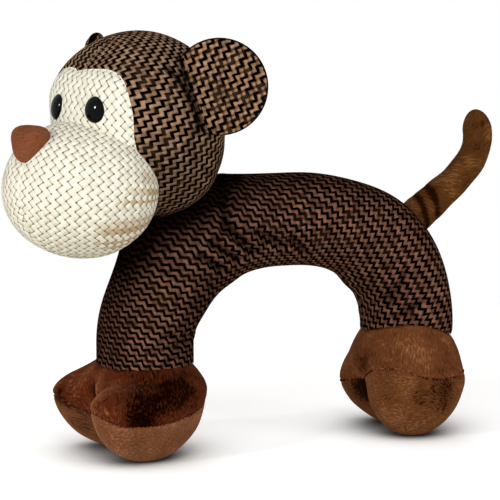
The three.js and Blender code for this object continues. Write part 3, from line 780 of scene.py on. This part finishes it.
def make_skull():
    """The face patch and both crowns, cut from one swelled skull."""
    d, faces = ball(LARGE)
    outline = face_outline()
    points = skull_point(d)
    inside = inside_face(points, outline)
    out = unit(points)
    seams = ridge(inside, 0, SEAM_WIDTH) + 0.5 * ridge(points[:, 1], 0, SEAM_WIDTH) * (inside < 0)
    puff = 0.7 * smoothstep(inside, 0.5, 7)
    bulge = nape_swell(out) + puff - SEAM_DEPTH * seams + 0.25 * lumps(points, 30, 3)
    points = points + out * bulge[:, None]
    buried = (size_in(points, MUZZLE_CENTRE, MUZZLE) < 0.93)[faces].all(1)
    points, face, crown = split(points, faces[~buried], inside_face(points, outline))
    p, f = used(points, face)
    flat = wrap_map(ways_in(p, 0, SKULL), (1, 0, 0), 48)
    piece(["face_patch"], from_head(p), f, cream_cloth, "head", "cream_weave", 0.75,
          weave=weave_at(flat, FACE_WEAVE))
    points, left, right = split(points, crown, points[:, 1])
    for nodes, side, part in ((["crown_left", "head_filling"], 1, left), (["crown_right"], -1, right)):
        p, f = used(points, part)
        d = ways_in(p, 0, SKULL, side)
        flat = wrap_map(d, (0.15, 1, 0), 49)
        # Painted shade: in the crease in front of the ear, and darker towards the bottom of the head
        shade = np.maximum(ear_root_shade(p, side), 0.4 * smoothstep(-d[:, 2], -0.1, 0.5))
        piece(nodes, from_head(p), f, crown_cloth, "head", "brown_weave", 0.8,
              weave=weave_at(flat, CROWN_WEAVE, shade))


def make_muzzle():
    """Both halves of the muzzle, with a sewn groove between them, tan rows on the cheeks, and painted shade
    towards its bottom.
    """
    d, faces = ball(LARGE)
    points = d * MUZZLE + MUZZLE_CENTRE
    groove = 0.5 * ridge(points[:, 1], 0, 1.2) * smoothstep(d[:, 0], -0.2, 0.3)
    bulge = swell_to(d, *CHEEK_SWELL) + 0.35 * lumps(points, 34, 5) - groove
    points = points + d * bulge[:, None]
    buried = (size_in(points, 0, SKULL) < 0.9)[faces].all(1)
    points, left, right = split(points, faces[~buried], points[:, 1])
    for name, side, part in (("muzzle_left", 1, left), ("muzzle_right", -1, right)):
        p, f = used(points, part)
        d = ways_in(p, MUZZLE_CENTRE, MUZZLE, side)
        flat = wrap_map(d, (0.75, 0.66, -0.05), 42) + [1.2, 0.4]
        cheek = smoothstep(d @ TAN_WAY + 0.05 * lumps(p, 16, 17), 0.69, 0.9)
        # Painted shade, darker towards the bottom of the muzzle
        chin_shade = 0.35 * smoothstep(-d[:, 2], 0.7, 1.0)
        piece([name], from_head(p), f, cream_cloth, "head", "cream_weave", 0.85,
              weave=weave_at(flat, MUZZLE_WEAVE, 0.7 * np.maximum(cheek, chin_shade)))


def eye_place(side):
    """Place of an eye on the skull, which is neared in steps, because the forehead is swelled there."""
    up = EYE.up / SKULL[2]
    target = side * EYE.side[side > 0]
    across = target / SKULL[1]
    for _ in range(5):
        front = math.sqrt(1 - across**2 - up**2)
        here = skull_point(np.array([[front, across, up]]))[0]
        across *= target / here[1]
    return here


def make_eyes():
    d, faces = ball(EYEBALL)
    keep = (d[:, 2] > EYE.skirt)[faces].any(1)
    dome, f = used(d * [EYE.wide, EYE.high, EYE.dome], faces[keep])
    for name, side in (("eye_left", 1), ("eye_right", -1)):
        here = eye_place(side)
        out = unit(here / SKULL**2)
        right = unit(np.cross(UP, out))
        axes = np.array([right, np.cross(out, right), out])
        p = here - EYE.sunk * out + dome @ axes
        piece([name], from_head(p), f, eye_gloss, "head", "eye_gloss")


def make_nose():
    """A rounded wedge, wider at the top, on the upper front of the muzzle."""
    d, faces = ball(SMALL)
    angle = math.radians(NOSE.angle)
    seat = MUZZLE_CENTRE + MUZZLE * NOSE.lift * np.array([math.cos(angle), 0, math.sin(angle)])
    seat[1] = NOSE.side
    front, left, up = np.abs(d.T)
    q = d * ((left**3 + up**3 + front**2.2) ** (-1 / 2.6))[:, None]
    wide = NOSE.wide * (1 + NOSE.taper * q[:, 2])
    p = np.stack([q[:, 0] * NOSE.deep, q[:, 1] * wide, q[:, 2] * NOSE.high], 1) + seat
    keep = (size_in(p, MUZZLE_CENTRE, MUZZLE) > 0.9)[faces].any(1)
    p, f = used(p, faces[keep])
    nap = np.stack([0.8 * p[:, 1] + 0.6 * p[:, 0], p[:, 2] + 0.5 * p[:, 0], np.zeros(len(p))], 1)
    piece(["nose_cover", "nose_filling"], from_head(p), f, nose_pile, "head", "nose_plush", 0.8, nap=nap)


def ear_disc(rings, spokes):
    """An ear laid flat: places out from its root and up, half its thickness there, and its shade: a dark rim,
    and painted shade at its root where it meets the head.
    """
    r = np.sin(np.linspace(0, 1, rings) * np.pi / 2)[:, None]
    a = np.linspace(0, 2 * np.pi, spokes, endpoint=False)[None]
    x = EAR.radius * r * np.cos(a) + EAR.offset
    y = EAR.radius * r * np.sin(a)
    pad = np.sqrt(np.clip(1 - r**4, 0, 1))
    pinch = EAR.root + (1 - EAR.root) * smoothstep(x, -6, 12)
    thick = EAR.thick * pinch * pad - 0.9 * ridge(r, 0.925, 0.02)
    x = np.maximum(x, -2.5)
    # A dark rim, and painted shade in the crease at the root
    shade = np.maximum(smoothstep(r, 0.955, 0.985), 0.85 * smoothstep(1.5 - x, 0, 2.5))
    return np.stack([x.ravel(), y.ravel()], 1), thick.ravel(), shade.ravel()


def ear_stitches(name, root, face, out, up):
    """Stitches round an ear's rim and along its root."""
    a = np.linspace(-2.2, 2.2, 90)[:, None]
    rim = 0.945 * EAR.radius
    line = root + (rim * np.cos(a) + EAR.offset) * out + rim * np.sin(a) * up + 1.5 * face
    stitches(f"{name}_rim_stitches", from_head(line), 4.6, 2.6, 0.4, pale_thread, name)
    high = np.linspace(-1, 1, 60)[:, None]
    stand = EAR.root * EAR.thick + 0.3 - 1.5 * high**4
    line = root + 0.8 * out + EAR_ROOT_HALF * high * up + stand * face
    stitches(f"{name}_root_stitches", from_head(line), 5.4, 2.8, 0.55, pale_thread, name)


def make_ears():
    rings, spokes = 46, 150
    flat, thick, shade = ear_disc(rings, spokes)
    for name, side in (("ear_left", 1), ("ear_right", -1)):
        root, face, out, up = ear_frame(side)
        ear_stitches(name, root, face, out, up)
        for nodes, way in (([f"{name}_front", f"{name}_wadding"], 1), ([f"{name}_back"], -1)):
            z = way * (thick + 0.3 * lumps(np.column_stack([flat, flat[:, 0]]), 14, 7 + way))
            z[-spokes:] = 0
            p = root + flat[:, :1] * out + flat[:, 1:] * up + z[:, None] * face
            f = tube(rings, spokes)
            if way * side < 0:
                f = f[:, ::-1]
            piece(nodes, from_head(p), f, ear_cloth, name, "brown_weave", 0.4,
                  weave=weave_at(flat, EAR_WEAVE, shade))


# Body

def arch_point(angle):
    """X and Z of the arch's centre line, from 0 at the front leg to half a turn at the rear one."""
    c, s = np.cos(angle), np.sin(angle)
    power = np.where(c > 0, 2 / FRONT_SQUARENESS, 2 / REAR_SQUARENESS)
    x = -ARCH_HALF_SPAN * np.sign(c) * np.abs(c) ** power
    return np.stack([x, ARCH_SPRING + ARCH_RISE * np.abs(s) ** power], -1)


def body_weave(x, z, shade):
    """Places in the body's weave, on a side panel laid flat. Its columns lean with the legs."""
    lean = FRONT_LEAN + REAR_LEAN * smoothstep(x, -60, 100)
    x = x - lean * (z - 100)
    crowd = CROWDING.blocks * np.sin((x - CROWDING.middle) / CROWDING.length)
    return np.stack([x / BODY_BLOCK[0] + crowd, -z / BODY_BLOCK[1], shade], 1)


def height_at(turn, line):
    """Height of a line round a leg, which is given at some turns."""
    at, high = np.transpose(line)
    return np.interp(np.degrees(turn), at, high)


def fold_depth(s, theta):
    """How deep the folds press the sleeve in, with a low lip beside each. The far side has the same ones."""
    deep = np.zeros(s.shape)
    scale = np.array([1, MM_A_DEGREE])
    flat = np.stack([s, -np.degrees(np.abs(theta))], -1) * scale
    for a, b, width, depth in FOLDS:
        away = off_segment(flat, a * scale, b * scale)
        deep += depth * (FOLD_DEPTH * ridge(away, 0, width) - FOLD_LIP * ridge(away, 2 * width, width))
    return deep


def head_gap(p):
    """About how far points are outside the head, at rest."""
    q = to_head(p)
    skull = (size_in(q, 0, SKULL) - 1) * SKULL[0] - nape_swell(unit(q))
    muzzle = (size_in(q, MUZZLE_CENTRE, MUZZLE) - 1) * MUZZLE[2]
    return np.minimum(skull, muzzle)


def body_swell(s, t, end, hem):
    """How far the stuffed sleeve swells, by the place along the body and the angle round it from the top."""
    outer = np.cos(t)
    front = ridges(s, FRONT_SWELLS) * np.cos(np.clip(0.7 * t, -np.pi / 2, np.pi / 2)) ** 2
    rump = ridges(s, RUMP_SWELLS) * smoothstep(outer, 0.2, 1)
    haunch = HAUNCH_SWELL * smoothstep(s, end - 140, end - 80) * smoothstep(outer, -0.3, 0.8)
    front_leg = FRONT_LEG_SWELL * smoothstep(FRONT_LEG_END - s, 0, 20)
    rear_leg = REAR_LEG_PRESS * smoothstep(s, end - 90, end - 64)
    inner = front_leg - rear_leg + ridges(s, INNER_SWELLS)
    return inner * smoothstep(-outer, 0.1, 1) + rump + front + haunch * (1 - 0.4 * np.minimum(hem, 1))


def body_shade(p, s, t, folds):
    """Painted shade on the sleeve: in its folds, under the head, on its inner side and along its top."""
    # Painted shadow under the head, painted shade in the folds, on the inner side and along the top
    head_shadow = 1.1 * np.exp(-np.maximum(head_gap(p), 0) / 14)
    in_folds = 0.5 * smoothstep(folds, 0.5, 2.4)
    inner = smoothstep(-np.cos(t), -0.1, 0.6) * (0.15 + 0.33 * smoothstep(FRONT_LEG_END - s, 0, 40))
    top = 0.52 * smoothstep(np.cos(t), 0.4, 1)
    return np.minimum(head_shadow + (in_folds + inner + top).ravel(), 0.94)


def make_body():
    """One sleeve from hem to hem, swelled, folded and pressed in under the head."""
    arch = arch_point(np.linspace(0, np.pi, 721))
    line = np.vstack([[-ARCH_HALF_SPAN, 0], arch, [ARCH_HALF_SPAN, 0]])
    run = run_of(line)
    end = run[-1]
    rows, sides = 380, 170
    theta = np.linspace(-np.pi, np.pi, sides, endpoint=False)[None]
    ragged = 0.4 * np.sin(theta * 31) + 0.3 * np.sin(theta * 53 + 1)
    rear_turn = np.sign(theta) * (np.pi - np.abs(theta))
    start = height_at(theta, FRONT_FOOT.hem_line) + ragged
    stop = end - height_at(rear_turn, REAR_FOOT.hem_line) - ragged
    s = start + (stop - start) * np.linspace(0, 1, rows)[:, None]
    t = np.broadcast_to(theta, s.shape)
    centre = on_line(s, run, line)
    step = 1.5
    ahead = unit(on_line(s + step, run, line) - on_line(s - step, run, line))
    away = np.stack([-ahead[..., 1], ahead[..., 0]], -1)
    hem = np.exp(-(s - start) / HEM_SOFTNESS) + np.exp(-(stop - s) / HEM_SOFTNESS)
    folds = fold_depth(s, t)
    radius = ARCH_RADIUS + SLEEVE_STAND + body_swell(s, t, end, hem) - folds
    normal = np.stack([away[..., 0] * np.cos(t), np.sin(t), away[..., 1] * np.cos(t)], -1)
    p = np.stack([centre[..., 0], np.zeros(s.shape), centre[..., 1]], -1) + normal * radius[..., None]
    p, normal = p.reshape(-1, 3), normal.reshape(-1, 3)
    p = p + normal * (0.45 * lumps(p, 42, 11))[:, None]
    clear = 0.5
    for _ in range(6):
        p = p - normal * np.maximum(clear - head_gap(p), 0)[:, None]
    flat = (centre + away * (ARCH_RADIUS * (np.pi / 2 - np.abs(t)))[..., None]).reshape(-1, 2)
    f = tube(rows, sides)[:, ::-1]
    piece(["body_sleeve", "body_filling"], p, f, body_cloth, "body", "body_weave", 0.8,
          weave=body_weave(*flat.T, body_shade(p, s, t, folds)))


# Feet

def turn_of(p):
    """Angle round the leg, 0 in front and less than 0 on the near side."""
    return np.arctan2(p[:, 1], -p[:, 0])


def seam_height(p, foot):
    """Height of the seam between upper and sole."""
    if foot is REAR_FOOT:
        return height_at(turn_of(p), foot.seam_line)
    heel = np.maximum(p[:, 0] - HEEL_CLIMB[0], 0)
    toe = np.maximum(TOE_CLIMB[0] - p[:, 0], 0)
    return FRONT_SEAM + HEEL_CLIMB[1] * heel**2 + TOE_CLIMB[1] * toe**2


def egg_distance(p, foot, side):
    """About how far points are outside one lobe of a foot, whose lowest point is a little under the floor."""
    lift, out = math.radians(foot.lift[side > 0]), math.radians(-side * foot.out)
    half_length, half_width = foot.length / 2, foot.width / 2
    a = np.linspace(np.pi, 2 * np.pi, 361)
    bottom = turned(foot.depth * np.sin(a), half_length * np.cos(a), lift)[0].min()
    q = p - [-foot.reach, side * foot.spread / 2, -bottom - SOLE_FLAT]
    x, y = turned(q[:, 0], q[:, 1], -out)
    x, z = turned(x, q[:, 2], lift)
    narrow = 1 + foot.taper * np.clip(x / half_length, -1.2, 1.2)
    high = np.where(z < 0, foot.depth, foot.crown[side > 0])
    half = np.stack([np.full_like(x, half_length), half_width * narrow, high * narrow], 1)
    n = np.stack([x, y, z], 1) / half
    power = np.where((x < 0) & (side > 0), foot.point, 2.0)
    size = (np.abs(n[:, 0]) ** power + np.hypot(n[:, 1], n[:, 2]) ** power) ** (1 / power)
    return size * (size - 1) / np.maximum(np.linalg.norm(n / half, axis=1), 1e-6)


def ankle_distance(p, foot):
    """About how far points are outside the leg's end: a tube under the sleeve that flares below its hem."""
    leg_radius = ARCH_RADIUS - 0.3
    tuck = 5
    flat = np.hypot(p[:, 0], p[:, 1])
    hem = height_at(turn_of(p), foot.hem_line)
    slim = foot.slim * smoothstep(-p[:, 0], 2, 24)
    leg = np.maximum(flat - leg_radius + slim, foot.shoulder - p[:, 2])
    shoulder = foot.shoulder + 0.5 * (hem - foot.hem)
    z = p[:, 2] - shoulder
    wide = foot.ankle - slim
    reach = (hem - shoulder) / np.sqrt(1 - ((leg_radius - slim) / wide) ** 2)
    half = np.where(z < 0, 0.45 * foot.depth, reach)
    size = np.hypot(flat / wide, z / half)
    slope = np.hypot(flat / wide**2, z / half**2)
    dome = size * (size - 1) / np.maximum(slope, 1e-6)
    return soft_min(leg, dome, 0.8) + tuck * smoothstep(p[:, 2] - hem, -1, 4)


def foot_distance(p, foot):
    """About how far points are outside a foot: two lobes run together, and the cloth's drape to the ankle."""
    web = 1.2 + foot.web * smoothstep(p[:, 2] - seam_height(p, foot), -3, 7)
    lobes = soft_min(egg_distance(p, foot, 1), egg_distance(p, foot, -1), web)
    near_toe, near_heel, far = foot.drape
    drape = near_toe + (near_heel - near_toe) * smoothstep(p[:, 0], -26, -4)
    drape = drape + (far - drape) * smoothstep(p[:, 1], -6, 10)
    return soft_min(ankle_distance(p, foot), lobes, drape)


def foot_skin(foot, centre):
    """A ball's points moved in along their ways onto the foot, then creased, dented and set down."""
    d, faces = ball(LARGE)
    reach = np.full(len(d), 95.0)
    for _ in range(90):
        p = centre + d * reach[:, None]
        reach = np.maximum(reach - 0.6 * foot_distance(p, foot), 1.0)
    p = centre + d * reach[:, None]
    crease = 0.9 * ridge(p[:, 2], seam_height(p, foot), 1.2) * (p[:, 2] < foot.hem - 6)
    uneven = 0.4 * lumps(p, 24, 21) * (p[:, 2] < foot.hem - 8)
    p = p + d * (uneven - crease - marks(p, foot.dents))[:, None]
    low = SOLE_REST * np.exp((p[:, 2] - SOLE_REST) / SOLE_SOFTNESS)
    p[:, 2] = np.where(p[:, 2] < SOLE_REST, low, p[:, 2])
    return p, faces


def foot_painted_light(q, foot, part):
    """Painted light on the pile: painted shade and painted highlights in patches, and painted shade in the
    cleft between the toes, whose edge gets a painted highlight.
    """
    # Painted shade in the cleft between the toes, with a painted highlight along its edge
    past = egg_distance(q, foot, -1) - egg_distance(q, foot, 1)
    cleft = ridge(past, 0, 4.5) * smoothstep(past, -0.6, 0.3)
    open_cleft = smoothstep(-q[:, 0], 12, 24)
    if foot is FRONT_FOOT:
        open_cleft *= 1 - smoothstep(q[:, 2], 38, 44)
    else:
        open_cleft *= part == "sole"
    painted_light = marks(q, foot.smudges[part]) + (0.75 * cleft - 0.4 * ridge(past, -2.5, 2.2)) * open_cleft
    # Painted shade on the far side of the front sole, darkest as a painted shadow under the upper's lip
    if foot is FRONT_FOOT and part == "sole":
        lip = ridge(q[:, 2], seam_height(q, foot), 3)
        painted_light += (0.12 + 0.4 * lip) * smoothstep(q[:, 1], -4, 6)
    return painted_light


def make_foot(name, foot, upper_pile, sole_pile):
    centre = np.array([-0.9 * foot.reach, 0, 0.75 * foot.depth])
    at_leg = np.array([foot.leg, 0, 0])
    p, faces = foot_skin(foot, centre)
    p, below, _ = split(p, faces, foot.hem + 12 - p[:, 2])
    p, upper, sole = split(p, below, p[:, 2] - seam_height(p, foot))
    seam = p[np.intersect1d(upper, sole)]
    seam = seam[np.argsort(turn_of(seam))][::3]
    stitches(f"{name}_stitches", seam + at_leg, 2.3, 1.8, foot.thread, red_thread, "body",
             lift=(centre + at_leg, 0.45))

    q, f = used(p, upper)
    nap = np.stack([NAP_ROUND * turn_of(q), q[:, 2], foot_painted_light(q, foot, "upper")], 1)
    piece([f"{name}_upper"], q + at_leg, f, upper_pile, "body", "foot_plush", 0.75, nap=nap)

    q, f = used(p, sole)
    nap = np.stack([q[:, 2], NAP_ROUND * turn_of(q), foot_painted_light(q, foot, "sole")], 1)
    piece([f"{name}_sole", f"{name}_filling"], q + at_leg, f, sole_pile, "body", "sole_plush", 0.75, nap=nap)


# Tail

def tail_curve():
    """Centre line of the tail, which leaves the rump squarely and bends up to its tip."""
    step = 0.009
    ahead = unit(arch_point(TAIL_SEAT + step) - arch_point(TAIL_SEAT - step))
    along = np.array([ahead[0], 0, ahead[1]])
    out = np.array([-ahead[1], 0, ahead[0]])
    x, z = arch_point(TAIL_SEAT)
    start = np.array([x, 0, z]) + out * (ARCH_RADIUS - TAIL_SUNK) - TAIL_ASIDE * along
    return bezier(start, start + TAIL_RISE * out, TAIL_TIP + TAIL_BEND, TAIL_TIP, count=400)


def make_tail():
    curve = tail_curve()
    run = run_of(curve)
    end = run[-1]
    rows, cap_rows, sides = 120, 30, 60
    shaft = np.linspace(0, end - TAIL_ROUND, rows - cap_rows)
    cap = end - TAIL_ROUND + TAIL_ROUND * np.sin(np.linspace(0, np.pi / 2, cap_rows + 1)[1:])
    at = np.concatenate([shaft, cap])
    ahead = unit(on_line(at + 1, run, curve) - on_line(at - 1, run, curve))
    up = np.stack([-ahead[:, 2], np.zeros(rows), ahead[:, 0]], 1)
    past = np.clip((at - (end - TAIL_ROUND)) / TAIL_ROUND, 0, 1)
    round_end = np.sqrt(np.clip(1 - past**1.7, 0.0004, 1))
    high = np.interp(at, (*TAIL_AT, end), TAIL_HIGH) * round_end
    wide = np.interp(at, (*TAIL_AT, end), TAIL_WIDE) * round_end
    a = np.linspace(0, 2 * np.pi, sides, endpoint=False)
    upward = up[:, None] * np.cos(a)[:, None]
    sideways = np.array([0, 1, 0]) * np.sin(a)[:, None]
    p = on_line(at, run, curve)[:, None] + upward * high[:, None, None] + sideways * wide[:, None, None]
    p, out = p.reshape(-1, 3), (upward + sideways).reshape(-1, 3)
    along, round_tail = np.repeat(at, sides), np.tile(a, rows)
    lean = along - 4 * np.cos(round_tail)
    rings = ridges(lean, TAIL_RINGS)
    p = p + out * (0.35 * lumps(p, 22, 31) - 0.25 * rings)[:, None]
    slant = 0.7
    # The creases' rings are darkened with painted shade
    nap = np.stack([slant * (along + 8 * round_tail), slant * (along - 8 * round_tail), 0.75 * rings], 1)
    piece(["tail_cover", "tail_filling"], p, tube(rows, sides), tail_pile, "tail", "tail_plush", 0.7, nap=nap)


make_skull()
make_muzzle()
make_eyes()
make_nose()
make_ears()
make_body()
make_foot("front_foot", FRONT_FOOT, front_pile, front_sole_pile)
make_foot("rear_foot", REAR_FOOT, rear_pile, rear_sole_pile)
make_tail()

# CAD pieces that stay, with better finishes
for name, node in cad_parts.items():
    if "filling" in name or "wadding" in name:
        look = fibre
    elif name == "neck_thread":
        look = thread
    elif "squeaker" in name or "washer" in name:
        look = white_plastic
    else:
        continue
    node.data.materials.clear()
    node.data.materials.append(look)


# Stage

def paint_floor():
    """A floor that looks white where no shadow falls on it, with a painted contact shadow near the toy, where
    ambient occlusion darkens its colour and dims its glow. It bounces plain light back to the toy.
    """
    net = material("floor")
    bounce, dark, pale = (0.9, 0.87, 0.8, 1.0), (0.12, 0.115, 0.11, 1.0), (0.84, 0.83, 0.81, 1.0)
    seen = net.seen()
    corner = net.node("AmbientOcclusion", samples=8)
    net.put(0.06, corner.inputs["Distance"])
    # Painted contact shadow: ambient occlusion darkens the floor's colour and its glow near the toy
    floor_with_painted_shadow = net.blend(net.step(corner.outputs["AO"], 0.1, 0.75), dark, pale)
    lift = net.math("MULTIPLY", net.step(corner.outputs["AO"], 0.2, 0.95, 0.0, 0.5), seen)
    near = net.node("AddShader", net.shader.outputs[0], net.node("Emission", WHITE, lift).outputs[0])
    x, y, _ = net.parts(net.place())
    far = net.math("MULTIPLY", net.step(net.length(x, y), 0.3, 0.6), seen)
    mix = net.node("MixShader", far, near.outputs[0], net.node("Emission", WHITE, 1.0).outputs[0])
    net.put(mix.outputs[0], net.surface)
    return net.finish(Base_Color=net.blend(seen, bounce, floor_with_painted_shadow), Roughness=0.9, Specular_IOR_Level=0.0)


def paint_world():
    """White where the camera sees it or its image, and dim light from all sides for the rest."""
    net = Net(bpy.data.worlds.new("studio"), "Background", "OutputWorld")
    strength = net.step(net.seen(), 0.0, 1.0, 0.3, 1.0)
    bpy.context.scene.world = net.finish(Color=WHITE, Strength=strength)


def look_at(obj, place, aim):
    obj.location = place
    obj.rotation_euler = (Vector(aim) - Vector(place)).to_track_quat("-Z", "Y").to_euler()
    bpy.context.scene.collection.objects.link(obj)


def lamp(name, place, size, power, aim=(0, 0, 0.1), glint=False):
    """A round lamp that lights the toy, or one that only makes a glint on its glossy eyes."""
    data = bpy.data.lights.new(name, "AREA")
    data.shape = "DISK"
    data.size = size
    data.energy = power
    obj = bpy.data.objects.new(name, data)
    obj.visible_glossy = glint
    obj.visible_diffuse = not glint
    look_at(obj, place, aim)


bpy.ops.mesh.primitive_plane_add(size=12)
floor = bpy.context.object
floor.name = "floor"
floor.data.materials.append(paint_floor())
paint_world()

lamp("key", (-1.2, -0.3, 0.6), 0.15, 4.1, aim=(0, 0, 0.12))
lamp("front", (-1.0, -0.8, 0.85), 0.6, 2.2)
lamp("fill", (-0.45, -1.15, 1.05), 0.8, 4.4)
lamp("top", (0.1, 0.1, 1.4), 0.9, 0.3)
lamp("side", (0.9, -1.2, 0.45), 0.8, 6.6)
lamp("back", (0.4, 1.3, 0.6), 1.0, 6.0)
lamp("glint", (-1.1, -0.5, 0.65), 0.2, 14.0, aim=(-0.1, 0, 0.19), glint=True)
lamp("card", (-0.75, -0.75, 0.1), 0.6, 3.6, aim=(-0.1, 0, 0.17))

camera_data = bpy.data.cameras.new("camera")
camera_data.sensor_width = 36
camera_data.lens = 176.4
camera = bpy.data.objects.new("camera", camera_data)
look_at(camera, (-0.5922, -1.2677, 0.2816), (-0.00497, -0.0083, 0.111))
bpy.context.scene.camera = camera
bpy.context.scene.view_settings.view_transform = "Standard"
